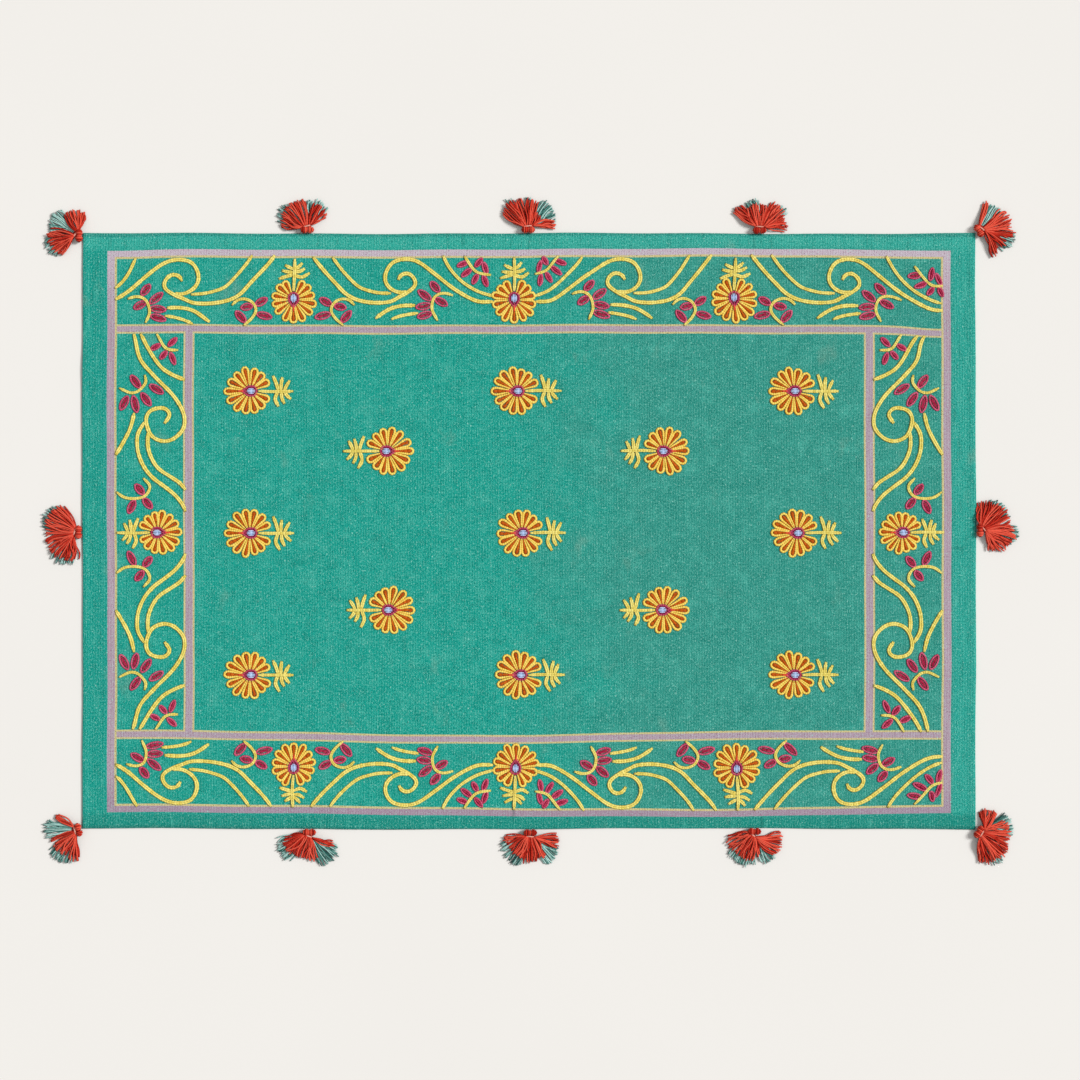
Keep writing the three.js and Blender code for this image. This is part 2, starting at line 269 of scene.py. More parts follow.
# Where the sewing was set off the even repeat, given in the same way
SEWING_DRIFTS = (
    (-780, 470, 95, 70, -12, -7), (-780, -480, 130, 80, -14, 14), (805, 470, 80, 75, 28, -17),
    (58, 530, 50, 45, -11, 4), (58, -535, 52, 45, -10, -1), (125, 470, 60, 60, -7, 3),
    (250, -560, 260, 70, 0, -5), (775, -390, 60, 40, 7, -3), (600, -490, 190, 80, 10, 4),
    (835, -490, 95, 75, 22, 18), (413, 480, 115, 85, -7, 2), (-265, 500, 75, 60, -6, 0),
    (770, 535, 55, 42, 14, -20), (-765, -445, 60, 30, -6, 2), (-665, -425, 50, 22, -3, 8),
    (-665, 425, 50, 22, -3, -8), (-540, 550, 60, 30, 7, 0), (-540, -550, 50, 40, 5, 0),
    (-790, 552, 50, 35, -12, 0), (-790, -550, 50, 35, -10, 0), (-340, -545, 150, 60, -7, 0),
    (345, -550, 80, 30, 7, 0), (775, -540, 40, 35, 14, 3), (800, 385, 60, 40, -8, 0),
)

# Soft ridges in the cloth: x and y, direction in degrees, half length, half width and rise, in mm
RIDGES = (
    (-560, 0, 90, 700, 45, 0.9), (95, 40, 90, 800, 60, 1.1), (640, -60, 88, 600, 50, 0.8),
    (0, 250, 2, 900, 55, 0.7), (-100, -330, -3, 900, 60, 0.9), (60, 590, 60, 90, 26, 1.6),
    (-380, -590, 110, 100, 28, 1.5), (420, -585, 75, 110, 30, 1.7), (-890, 330, 15, 110, 30, 1.3),
    (888, -280, -12, 120, 30, 1.5), (870, 420, 20, 100, 28, 1.2),
)


def unit(degrees):
    """The step of length one in a direction, which is also its cosine and sine."""
    return np.array([math.cos(math.radians(degrees)), math.sin(math.radians(degrees))])


def edge_wave(edge, share):
    return sum(height * MM * np.sin(2 * np.pi * (count * share + start))
               for height, count, start in EDGE_WAVES[edge])


def on_outline(x, y):
    """Where a point of the straight rectangle lies on the cloth, whose edges wander."""
    across = x / LENGTH + 0.5
    up = y / WIDTH + 0.5
    out_x = -edge_wave("left", up) * (1 - across) + edge_wave("right", up) * across
    out_y = -edge_wave("front", across) * (1 - up) + edge_wave("back", across) * up
    return x + out_x, y + out_y


def drift(x, y, spots):
    """How far a few drifts, added up, move a place right and up. All in mm."""
    right = up = 0.0 * x
    for at_x, at_y, reach_x, reach_y, by_right, by_up in spots:
        near = np.exp(-((x - at_x) / reach_x) ** 2 - ((y - at_y) / reach_y) ** 2)
        right = right + by_right * near
        up = up + by_up * near
    return right, up


def cloth_rise(x, y):
    """How far the cloth's ridges lift it off the floor at a place."""
    rise = 0.0 * x
    for at_x, at_y, turn, length, width, high in RIDGES:
        cos, sin = unit(turn)
        dx, dy = x - at_x * MM, y - at_y * MM
        along = (dx * cos + dy * sin) / (length * MM)
        aside = (dy * cos - dx * sin) / (width * MM)
        rise = rise + high * MM * np.exp(-along ** 2 - aside ** 2)
    return rise


# %% [markdown]
# ## The cloth
# The cloth is a grid given a thickness with solidify. The grid's outer rows stand close together,
# so that the edge can round over and the turned-in hems at the short ends can step up. Each point
# also keeps its place on the straight cloth, before any drift, as an attribute called woven_at.
# The material paints the dyed lines by that place, so they drift with the threads.

# %% Cloth as a solidified grid
GRID_ALONG = 236
GRID_ACROSS = 158
EDGE_ROWS = (0, 0.7, 2, 4.5, 8, 11, 12.4, 14.5, 19)
EDGE_ROUNDING = (0.45, 0.82, 1.0)
HEM_SLOPE = 7 * MM


def grid_places(size, count):
    """Places of the grid's rows: close together at both edges, even in between."""
    rim = np.array(EDGE_ROWS) * MM
    inner = np.linspace(-size / 2 + rim[-1], size / 2 - rim[-1], count + 1 - 2 * (len(rim) - 1))
    return np.concatenate([-size / 2 + rim[:-1], inner, size / 2 - rim[-2::-1]])


def add_piece(name, mesh, material):
    """A finished piece: it stands at the origin, rides on the rug and takes a finish."""
    mesh.materials.append(material)
    mesh.shade_smooth()
    piece = new_object(name, mesh)
    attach(piece, "root")
    return piece


def woven_cloth_mesh():
    grid = bmesh.new()
    bmesh.ops.create_grid(grid, x_segments=GRID_ALONG, y_segments=GRID_ACROSS, size=0.5)
    bmesh.ops.solidify(grid, geom=list(grid.faces), thickness=THICKNESS)
    bmesh.ops.recalc_face_normals(grid, faces=list(grid.faces))
    mesh = bpy.data.meshes.new("kilim_sheet")
    grid.to_mesh(mesh)
    grid.free()
    points = np.zeros(len(mesh.vertices) * 3)
    mesh.vertices.foreach_get("co", points)
    points = points.reshape(-1, 3)
    column = np.rint((points[:, 0] + 0.5) * GRID_ALONG).astype(int)
    row = np.rint((points[:, 1] + 0.5) * GRID_ACROSS).astype(int)
    is_top = points[:, 2] > points[:, 2].mean()
    x = grid_places(LENGTH, GRID_ALONG)[column]
    y = grid_places(WIDTH, GRID_ACROSS)[row]
    rim = np.minimum(np.minimum(column, GRID_ALONG - column), np.minimum(row, GRID_ACROSS - row))
    fullness = np.take(EDGE_ROUNDING, np.minimum(rim, len(EDGE_ROUNDING) - 1))
    in_hem = np.clip((HEM_DEPTH + HEM_SLOPE / 2 - (LENGTH / 2 - np.abs(x))) / HEM_SLOPE, 0, 1)
    top = (THICKNESS + HEM_RISE * in_hem) * (0.5 + 0.5 * fullness)
    bottom = THICKNESS * (0.5 - 0.5 * fullness)
    placed = np.stack([*on_outline(x, y), np.where(is_top, top, bottom) + cloth_rise(x, y)], 1)
    mesh.vertices.foreach_set("co", placed.astype(np.float32).ravel())
    mesh.update()
    woven_at = mesh.attributes.new("woven_at", "FLOAT_VECTOR", "POINT")
    straight = np.stack([x, y - drift(x / MM, y / MM, PRINT_DRIFTS)[1] * MM, 0 * x], 1)
    woven_at.data.foreach_set("vector", straight.astype(np.float32).ravel())
    return mesh


cloth_mesh = woven_cloth_mesh()
print("cloth faces:", len(cloth_mesh.polygons))

# %% [markdown]
# ## The cloth's finish
# The ground is teal with uneven dye: brighter on the left, greyer and more faded on the right, with
# streaks along the weft and pale flecks where a thread shows undyed. The lines are dyed too: a lilac
# band with a thin yellow line inside it runs round the edge, and a lilac band between two yellow
# lines frames the field. Each is a range of distances from the middle, so a mask for it needs no
# picture. The weave is a bump: ribs along the short way, broken into threads.

# %% Dyed lines and weave
TEAL_BRIGHT = seen(2, 161, 144)
TEAL_GREY = seen(46, 150, 135)
TEAL_DEEP = seen(6, 126, 112)
TEAL_PALE = seen(84, 188, 170)
FADED = seen(122, 162, 144)
SHADED = seen(4, 88, 80)
TEAL_MARGIN = seen(0, 168, 152)
FLECK = seen(164, 220, 206)
LILAC = seen(168, 140, 158)
LILAC_PALE = seen(190, 169, 188)
LILAC_BACK = seen(214, 198, 212)
LILAC_FRONT = seen(152, 124, 152)
LILAC_SHADED = seen(124, 102, 118)
LINE_YELLOW = seen(226, 201, 136)

# Outer band: half sizes along and across where the lilac starts and ends, and its yellow line's width
OUTER_START = (835 * MM, 554.5 * MM)
OUTER_END = (850 * MM, 567 * MM)
THIN_LINE = 4 * MM
# Inner frame: distances from the middle where the lilac starts and ends
FRAME_ACROSS = (401 * MM, 412.5 * MM)
FRAME_ALONG = (678.5 * MM, 693 * MM)
FRAME_LINE = 3.6 * MM
LINE_SOFTNESS = 0.5 * MM
LINE_WOBBLE = 1.1 * MM

RIB_PITCH = 5.2 * MM
THREAD_PITCH = 4.1 * MM


def border_masks(dye, place):
    """Where the yellow lines and the lilac bands are, as two masks."""
    x, y = dye.parts(place)
    ragged = (dye.noise(place, 260) - 0.5) * LINE_WOBBLE
    far_x = abs(x) + ragged
    far_y = abs(y) + ragged

    def below(value, limit, soft=LINE_SOFTNESS):
        return dye.spread(value, limit, limit + soft, 1, 0)

    def between(value, inner, outer, extra=0):
        return dye.band(value, inner - extra, outer + extra, LINE_SOFTNESS)

    within = below(far_x, OUTER_END[0]) * below(far_y, OUTER_END[1])
    inside = below(far_x, OUTER_START[0]) * below(far_y, OUTER_START[1])
    clear = below(far_x, OUTER_START[0] - THIN_LINE) * inside
    outer_across = between(far_x, OUTER_START[0] - THIN_LINE, OUTER_END[0])
    outer_along = between(far_y, OUTER_START[1] - THIN_LINE, OUTER_END[1])
    outer = (outer_across | outer_along) * within

    # The short lilac bands of the frame run through the long border too, between its yellow lines
    short_lines = below(far_y, FRAME_ACROSS[0], 2 * LINE_SOFTNESS) * between(far_x, *FRAME_ALONG, FRAME_LINE)
    yellow = outer | (between(far_y, *FRAME_ACROSS, FRAME_LINE) | short_lines) * inside
    short_lilac = below(far_y, FRAME_ACROSS[1]) * between(far_x, *FRAME_ALONG)
    frame_lilac = (between(far_y, *FRAME_ACROSS) | short_lilac) * clear
    outer_lilac = within * dye.math("SUBTRACT", 1, inside)
    return yellow, outer_lilac | frame_lilac


def dyed_ground(dye, place, streaks):
    """Teal that turns greyer to the right, with clouds, streaks along the threads and worn patches."""
    x, y = dye.parts(place)
    leaning = x
    for fineness, sway in ((5.5, 0.4), (15, 0.42)):
        leaning = leaning + (dye.noise(place, fineness, detail=3) - 0.5) * sway
    ground = dye.blend(dye.spread(leaning, -0.08, 0.26), TEAL_BRIGHT, TEAL_GREY)
    blotches = dye.noise(place, 26, detail=3, rough=0.6)
    mottle = dye.noise(place, 70, detail=4, rough=0.75)
    for pattern, reach, share in ((streaks, 0.3, 0.3), (blotches, 0.22, 0.34), (mottle, 0.24, 0.5)):
        ground = dye.blend(dye.spread(pattern, 0.5, 0.5 + reach, 0, share), ground, TEAL_PALE)
        ground = dye.blend(dye.spread(pattern, 0.5, 0.5 - reach, 0, share), ground, TEAL_DEEP)
    # The margins are less faded than the middle, and their tone differs from one side to the next
    margins = []
    sides = ((x, -OUTER_END[0], TEAL_DEEP, 0.3), (x, OUTER_END[0], TEAL_PALE, 0.14),
             (y, OUTER_END[1], TEAL_PALE, 0.28), (y, -OUTER_END[1], TEAL_DEEP, 0.6))
    for distance, line, tone, share in sides:
        outward = math.copysign(1, line)
        margin = dye.spread(distance, line - outward * 5 * MM, line + outward * 10 * MM)
        ground = dye.blend(margin * 0.7, ground, TEAL_MARGIN)
        ground = dye.blend(margin * share, ground, tone)
        margins.append(margin)
    margin = margins[0] | margins[1] | (margins[2] | margins[3])
    rippled = dye.stretched(place, 95, 16, detail=4, rough=0.7)
    for low, high, tone in ((0.52, 0.72, TEAL_PALE), (0.48, 0.28, TEAL_DEEP)):
        ground = dye.blend(margin * dye.spread(rippled, low, high, 0, 0.6), ground, tone)
    # A thin band of painted shade along the two long edges
    long_edge_shade = dye.spread(abs(y), WIDTH / 2 - 9 * MM, WIDTH / 2 - 3 * MM, 0, 0.4)
    ground = dye.blend(long_edge_shade, ground, SHADED)
    worn = dye.stretched(place, 14, 9, detail=4, rough=0.6)
    return dye.blend(dye.spread(worn, 0.6, 0.76, 0, 0.4), ground, FADED)


# Short puckers where a tassel is sewn on, their folds shown as painted shade: middle, half width, half
# length, in mm
PUCKERS = ((-32, -562, 1.6, 20), (470, -580, 2.2, 12), (0, 584, 1.4, 15), (453, 582, 1.4, 14),
           (862, -34, 12, 1.6))
PUCKER_BEND = 8 * MM
PUCKER_SOFTNESS = (2.5 * MM, 4 * MM)
PUCKER_SHADE = 0.45


def crease_shaded(dye, surface, place):
    """The surface with painted shade in the fold of each of its few short puckers, uneven along it."""
    x, y = dye.parts(place)
    bent_x = x + (dye.noise(place, 60) - 0.5) * PUCKER_BEND
    for at_x, at_y, half_wide, half_long in PUCKERS:
        across = dye.band(bent_x, (at_x - half_wide) * MM, (at_x + half_wide) * MM, PUCKER_SOFTNESS[0])
        along = dye.band(y, (at_y - half_long) * MM, (at_y + half_long) * MM, PUCKER_SOFTNESS[1])
        surface = dye.blend(across * along * PUCKER_SHADE, surface, SHADED)
    return surface


def dyed_cotton():
    dye = Finish("dyed_cotton_weave", roughness=0.93, sheen=0.05)
    place = dye.attribute("woven_at", "Vector")
    x, y = dye.parts(place)
    yellow, lilac = border_masks(dye, place)
    streaks = dye.stretched(place, 150, 10, detail=3, rough=0.6)
    lilac_tone = dye.blend(dye.spread(streaks, 0.15, 0.85), LILAC, LILAC_PALE)
    lilac_tone = dye.blend(dye.spread(y, 0.42, 0.56, 0, 0.6), lilac_tone, LILAC_BACK)
    lilac_tone = dye.blend(dye.spread(y, -0.5, -0.55, 0, 0.5), lilac_tone, LILAC_FRONT)
    surface = dyed_ground(dye, place, streaks)
    surface = dye.blend(yellow * 0.9, surface, LINE_YELLOW)
    surface = dye.blend(lilac * 0.96, surface, lilac_tone)

    # Threads: they shade the dye a little, lift the surface, and show pale flecks
    rib = dye.math("SINE", x * (2 * math.pi / RIB_PITCH))
    thread = dye.math("SINE", y * (2 * math.pi / THREAD_PITCH))
    weave = (rib + rib * thread) * 0.5
    fibre = dye.stretched(place, 430, 300, detail=4, rough=0.8)
    grain = weave * 0.04 + fibre
    in_shade = dye.blend(lilac, SHADED, LILAC_SHADED)
    surface = dye.blend(dye.spread(grain, 0.53, 0.3, 0, 0.95), surface, in_shade)
    surface = dye.blend(dye.spread(grain, 0.5, 0.74, 0, 0.72), surface, FLECK)
    flecks = dye.stretched(place, 330, 210, detail=1)
    surface = dye.blend(dye.spread(flecks, 0.65, 0.77, 0, 0.7), surface, FLECK)
    # Painted shade in the folds of the puckers
    surface = crease_shaded(dye, surface, place)
    dye.colour(surface)
    dye.bump(weave * 0.5 + fibre * 1.6, 0.5, 0.7 * MM)
    return dye.material


cloth_piece = add_piece("kilim_sheet", cloth_mesh, dyed_cotton())
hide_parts("kilim_cloth")
print("cloth made, 1 piece")

# %% [markdown]
# ## A stitch, repeated thousands of times
# The sewing is chain stitch in soft yarn. One stitch is a plump little arm of yarn, and a chain link
# is two of them spreading from one hole. Modelling some fifteen thousand of them by hand is out of
# the question, so one small shape is made with bmesh, and arrays copy it along the lines. Each copy
# keeps three notes for the finish: how high each point stands, its own shade, and where it is on
# the yarn, as a UV map.

# %% The stitch shapes
STITCH_SINK = 0.34
LINK_SPREAD = 0.21
LINK_SPLAY = math.radians(7)
LINK_ARM_WIDTH = 0.62


def yarn_arms(width, sides):
    """Plump arms of yarn along X, one unit long and high, sunk a little, each splayed to its side."""
    shape = bmesh.new()
    shape.loops.layers.uv.new("along_yarn")
    for side in sides:
        ball = bmesh.ops.create_uvsphere(shape, u_segments=6, v_segments=3, radius=0.5, calc_uvs=True)
        arm = ball["verts"]
        bmesh.ops.rotate(shape, verts=arm, matrix=Matrix.Rotation(math.pi / 2, 3, "Y"))
        bmesh.ops.translate(shape, verts=arm, vec=(0, 0, 0.5 - STITCH_SINK))
        bmesh.ops.scale(shape, verts=arm, vec=(1, width, 1))
        bmesh.ops.rotate(shape, verts=arm, matrix=Matrix.Rotation(side * LINK_SPLAY, 3, "Z"))
        bmesh.ops.translate(shape, verts=arm, vec=(0, side * LINK_SPREAD, 0))
    return shape


class Stamp:
    """A small shape kept as arrays, ready to be copied many times into one mesh."""

    def __init__(self, shape):
        shape.verts.index_update()
        layer = shape.loops.layers.uv.active
        self.points = np.array([list(v.co) for v in shape.verts])
        self.faces = [[corner.vert.index for corner in face.loops] for face in shape.faces]
        self.uvs = np.array([list(corner[layer].uv) for face in shape.faces for corner in face.loops])
        shape.free()


def copies_mesh(name, stamp, copies, notes):
    """One mesh of all the copies, each an array of placed points, with notes kept on its points."""
    count, size = copies.shape[:2]
    faces = [[corner + size * i for corner in face] for i in range(count) for face in stamp.faces]
    mesh = bpy.data.meshes.new(name)
    mesh.from_pydata(copies.reshape(-1, 3).tolist(), [], faces)
    layer = mesh.uv_layers.new(name="along_yarn")
    layer.data.foreach_set("uv", np.tile(stamp.uvs, (count, 1)).ravel())
    for note, values in notes.items():
        kept = mesh.attributes.new(note, "FLOAT", "POINT")
        kept.data.foreach_set("value", values.astype(np.float32).ravel())
    return mesh


PLAIN_ARM = Stamp(yarn_arms(1, sides=(0,)))
CHAIN_LINK = Stamp(yarn_arms(LINK_ARM_WIDTH, sides=(1, -1)))
print("faces in one arm and one link:", len(PLAIN_ARM.faces), len(CHAIN_LINK.faces))

# %% Sewing along lines
CURVE_STEPS = 14
END_TAPER = 0.7
# How much one stitch differs from the next, in size and in heading
STITCH_PLAY = 0.05
# How quickly a line that starts and ends slim grows to its full width
SLIM_GROWTH = 3.4


def smooth_line(points, closed=False):
    """A fine line of points through a few given ones, in mm, curving as yarn does."""
    given = np.array(points, float)
    count = len(given)
    if closed:
        before, after, beyond = np.roll(given, 1, 0), np.roll(given, -1, 0), np.roll(given, -2, 0)
        spans = zip(before, given, after, beyond)
    else:
        padded = np.vstack([2 * given[0] - given[1], given, 2 * given[-1] - given[-2]])
        spans = (padded[i:i + 4] for i in range(count - 1))
    share = np.linspace(0, 1, CURVE_STEPS, endpoint=False)[:, None]
    line = [0.5 * (2 * b + (c - a) * share + (2 * a - 5 * b + 4 * c - d) * share ** 2
                   + (3 * b - a - 3 * c + d) * share ** 3) for a, b, c, d in spans]
    last = given[:1] if closed else given[-1:]
    return np.vstack([*line, last])


def drifted(line):
    """A line moved as the sewing there drifted off the even repeat."""
    return line + np.stack(drift(*line.T, SEWING_DRIFTS), 1)


def length_gone(line):
    """How far along a line each of its points is."""
    return np.concatenate([[0], np.cumsum(np.linalg.norm(np.diff(line, axis=0), axis=1))])


def places_at(line, gone, at):
    """The places on a line at given distances along it."""
    return np.stack([np.interp(at, gone, given) for given in line.T], 1)


def softened(line, reach):
    """A line with its kinks averaged out over a reach in mm, its two ends kept where they are."""
    gone = length_gone(line)
    even = places_at(line, gone, np.linspace(0, gone[-1], int(gone[-1]) + 2))
    pad = min(2 * reach, len(even) - 1)
    weights = np.exp(-(np.arange(-pad, pad + 1) / reach) ** 2)
    before = 2 * even[0] - even[1:pad + 1][::-1]
    beyond = 2 * even[-1] - even[-pad - 1:-1][::-1]
    padded = np.vstack([before, even, beyond])
    return np.stack([np.convolve(side, weights / weights.sum(), "valid") for side in padded.T], 1)


def even_steps(line, pitch):
    """Points a pitch apart along a fine line, with the heading at each."""
    gone = length_gone(line)
    count = max(2, int(round(gone[-1] / pitch)))
    at = (np.arange(count) + 0.5) * gone[-1] / count
    way = places_at(line, gone, at + 1) - places_at(line, gone, at - 1)
    return places_at(line, gone, at), np.arctan2(way[:, 1], way[:, 0])


class Thread:
    """All stitches of one yarn: each row is x, y, heading, length, width, height and lift, in mm."""

    def __init__(self, stamp, **usual):
        self.stamp = stamp
        self.usual = usual
        self.rows = []

    def sew(self, line, **changes):
        """Sews a line as is usual for this yarn, apart from the changes given."""
        self.stitch(line, **{**self.usual, **changes})

    def stitch(self, line, width, height, pitch, overlap, closed=False, lift=0.0, limit=None, twist=0.0,
               soften=0, slim=0.0):
        """Lays stitches a pitch apart along a line, each as long as the pitch times the overlap."""
        fine = drifted(smooth_line(line, closed))
        place, heading = even_steps(softened(fine, soften) if soften else fine, pitch)
        if limit is not None:
            # The dyed line at which the sewing stops has a drift of its own
            woven_y = place[:, 1] - drift(*place.T, PRINT_DRIFTS)[1]
            kept = (np.abs(place[:, 0]) < limit[0]) & (np.abs(woven_y) < limit[1])
            place, heading = place[kept], heading[kept]
        share = np.linspace(0, 1, len(place))
        widths = width * (1 - slim * np.clip(1 - SLIM_GROWTH * np.minimum(share, 1 - share), 0, 1))
        if not closed:
            widths[:1] *= END_TAPER
            widths[-1:] *= END_TAPER
        count = len(place)
        if count:
            sizes = np.stack([np.full(count, pitch * overlap), widths, np.full(count, height)], 1)
            sizes = sizes * draws.normal(1, STITCH_PLAY, (count, 3))
            lean = heading + twist + draws.normal(0, STITCH_PLAY, count)
            self.rows.append(np.column_stack([place, lean, sizes, np.full(count, lift)]))

    def piece(self, name, material, slot_name):
        rows = np.vstack(self.rows)
        x, y, turn, length, width, height, lift = rows.T
        local = self.stamp.points[None] * np.stack([length, width, height], 1)[:, None] * MM
        cos, sin = np.cos(turn)[:, None], np.sin(turn)[:, None]
        placed_x = x[:, None] * MM + local[..., 0] * cos - local[..., 1] * sin
        placed_y = y[:, None] * MM + local[..., 0] * sin + local[..., 1] * cos
        base = THICKNESS + lift * MM + cloth_rise(x * MM, y * MM)
        copies = np.stack([placed_x, placed_y, local[..., 2] + base[:, None]], 2)
        # How high each point stands in its stitch, for the finish's painted shade and highlight
        standing = np.tile(self.stamp.points[:, 2] / (1 - STITCH_SINK), (len(rows), 1))
        shade = np.repeat(draws.uniform(-1, 1, len(rows)), len(self.stamp.points))
        mesh = copies_mesh(name, self.stamp, copies, {"standing": standing, "shade": shade})
        print(name, "stitches:", len(rows), "faces:", len(mesh.polygons))
        return add_piece(name, mesh, material)


# %% [markdown]
# ## Yarn finishes
# The sewing yarn is matte and a little hairy. Each finish paints its light and shade by height: a
# shaded colour at the foot of a stitch, in the grooves and at its sides, and a painted highlight
# where it stands up on top. Every stitch is a shade of its own, and a slanting ripple in the bump
# shows the twist of the plies.

# %% Yarn as a finish
def yarn(name, shaded_foot, middle, lit_top, low=0.2, high=0.95, ply_turns=3.0, shade_share=0.1):
    """A yarn's finish with painted light, from its painted shade at a height of low to its painted highlight
    at high.
    """
    wool = Finish(name, roughness=0.9, sheen=0.02)
    shade = wool.attribute("shade")
    around, along = wool.parts(wool.add("UVMap", 0, uv_map="along_yarn"))
    fluff = wool.noise(wool.place(), 900, rough=0.7)
    height = wool.attribute("standing") + (fluff - 0.5) * 0.5 + shade * shade_share
    lower = wool.spread(height, low, (low + high) / 2)
    upper = wool.spread(height, (low + high) / 2, high)
    # Painted shade at the foot and sides of each stitch, and a painted highlight on top
    tone = wool.blend(lower, seen(*shaded_foot), seen(*middle))
    wool.colour(wool.blend(upper, tone, seen(*lit_top)))
    ply = wool.math("SINE", (along * ply_turns + around) * (4 * math.pi))
    wool.bump(ply * 0.5 + fluff, 0.5, 0.5 * MM)
    return wool.material


yellow_yarn = yarn("chain_yarn_yellow", (134, 118, 18), (222, 198, 78), (252, 238, 138))
gold_yarn = yarn("petal_yarn_yellow", (164, 116, 10), (242, 196, 72), (255, 228, 116))
rust_yarn = yarn("fill_yarn_rust", (134, 44, 0), (186, 78, 8), (214, 106, 30))
pink_yarn = yarn("leaf_yarn_pink", (110, 8, 44), (192, 56, 94), (220, 106, 136))
ring_yarn = yarn("ring_yarn_pink", (100, 8, 42), (176, 44, 82), (200, 82, 112))
crimson_yarn = yarn("leaf_yarn_crimson", (104, 4, 34), (160, 20, 58), (198, 62, 94))
plum_yarn = yarn("ring_yarn_plum", (80, 14, 50), (134, 34, 76), (168, 66, 106))
blue_yarn = yarn("heart_yarn_blue", (70, 112, 180), (150, 184, 234), (208, 226, 255),
                 low=0.1, high=0.85)
point_yarn = yarn("point_yarn_scarlet", (150, 16, 10), (222, 60, 38), (240, 92, 64))

# %% [markdown]
# ## Flowers
# Each flower has thirteen petals round a ring, and where a fourteenth would be, the stem of a fern
# leaves it. A petal is a loop of yellow yarn with rust yarn laid inside. The ring is magenta with a
# point on the side away from the fern, and holds a heart of pale blue. No two petals are alike, so
# each one's bearing, reach and width are drawn a little differently.

# %% Flower sizes and places, in mm
PETALS = 14
PETAL_BASE = 11.5
PETAL_TIP = 46.2
PETAL_HALF_WIDTH = 6.3
YARN_HEIGHT = 4.0
HEART_OFFSET = 3.8
PETAL_MIDDLE = HEART_OFFSET * 0.35
# Rows of rust yarn in a petal: how far aside, where one starts as a share of its length, and its lift
PETAL_ROWS = ((-2.2, 0.4, 0), (2.2, 0.36, 0), (0, 0.0, 0.9))


def there_and_back(side, tip):
    """A line along one side to the tip, and back along the mirrored side."""
    return [*side, tip, *((along, -aside) for along, aside in reversed(side))]


RING_LOOP = ((-14.5, 0), *there_and_back(((-8, 4.6), (-2, 8.8), (5, 9.9), (11.5, 8)), (15, 0)))
INNER_RING = ((-5.4, 0), *there_and_back(((-1.5, 4.9), (3.5, 6.6), (8.5, 5.4)), (11.2, 0)))
HEART_ROWS = ((-4.4, 9), (-1.5, 13.5), (1.5, 13.5), (4.4, 9))
RING_POINT = ((-14, 0), (-6, 0))
SCARLET_POINT = ((-22, 0), (-12, 0))

# Where a fern's stem starts and ends, and how a border flower's fern differs
FERN_STEM = (19, 91)
BORDER_FERN_SIZE = 0.94
BORDER_FERN_NEARER = 4
# Its branches on one side, then the other: where the root is on the stem, then bend and end,
# [along, aside] from the flower
FERN_BRANCHES = (
    (59, (55, 16), (50, 31)), (64, (64.5, 13), (67, 26)), (70, (74, 10), (79, 20)),
    (58, (53, -17), (60, -32.5)), (65, (66, -13), (71.5, -24)), (70, (75, -9), (82, -16.5)),
)

FIELD_FLOWERS = (
    (-564, 282, 0), (-26, 282, 0), (532, 282, 0), (-284, 161, 180), (274, 161, 180),
    (-564, -4, 0), (-16, -4, 0), (538, -4, 0), (-280, -159, 180), (272, -159, 180),
    (-564, -290, 0), (-20, -290, 0), (532, -290, 0),
)
BACK_ROW = 465
FRONT_ROW = -474
SIDE_ROW = 764
SIDE_FLOWER_Y = -3
REPEAT_MIDDLE = -30
HALF_REPEAT = 444.6
# The border flowers are a little smaller, each by a share of its own
BORDER_FLOWERS = (
    (REPEAT_MIDDLE - HALF_REPEAT, BACK_ROW, 90, 0.94),
    (REPEAT_MIDDLE, BACK_ROW, 90, 0.95),
    (REPEAT_MIDDLE + HALF_REPEAT + 5, BACK_ROW, 90, 0.97),
    (REPEAT_MIDDLE - HALF_REPEAT + 1, FRONT_ROW + 1, -90, 0.94),
    (REPEAT_MIDDLE + 3, FRONT_ROW, -92, 0.95),
    (REPEAT_MIDDLE + HALF_REPEAT, FRONT_ROW - 2, -90, 0.96),
    (-SIDE_ROW + 18, SIDE_FLOWER_Y, 180, 0.93),
    (SIDE_ROW - 14, SIDE_FLOWER_Y, 0, 0.89),
)


def turned(points, x, y, degrees, size=1.0):
    """Points given along and aside of a direction, turned to it and moved to x, y."""
    cos, sin = unit(degrees)
    along, aside = (np.array(points, float) * size).T
    return np.stack([x + along * cos - aside * sin, y + along * sin + aside * cos], 1)


def petal_loop(base, tip, half_width):
    """One petal's line: narrow at its base, widest near its round tip."""
    reach = tip - base
    side = ((0, 1.7), (0.28, 3.2), (0.55, 0.8 * half_width), (0.8, half_width), (0.955, 0.66 * half_width))
    return there_and_back([(base + reach * share, wide) for share, wide in side], (tip, 0))


# %% Flowers
petal_lines = Thread(PLAIN_ARM, width=6.2, height=YARN_HEIGHT, pitch=4.4, overlap=1.8, twist=0.14, slim=0.42)
petal_fill = Thread(PLAIN_ARM, width=4.2, height=3.2, pitch=7.5, overlap=1.5)
ring_lines = Thread(PLAIN_ARM, width=5.2, height=YARN_HEIGHT, pitch=4.2, overlap=1.6)
inner_rings = Thread(PLAIN_ARM, width=3.2, height=3.4, pitch=3.4, overlap=1.6, closed=True, lift=0.8)
hearts = Thread(PLAIN_ARM, width=3.6, height=3.4, overlap=2.2, lift=1.6)
scarlet_points = Thread(PLAIN_ARM, width=6.4, height=YARN_HEIGHT, pitch=5.0, overlap=1.6, lift=1.7)
fern_lines = Thread(CHAIN_LINK, width=8.0, height=YARN_HEIGHT, pitch=4.8, overlap=2.0)
fern_stems = Thread(CHAIN_LINK, width=7.0, height=YARN_HEIGHT, pitch=5.2, overlap=1.9, lift=0.7)


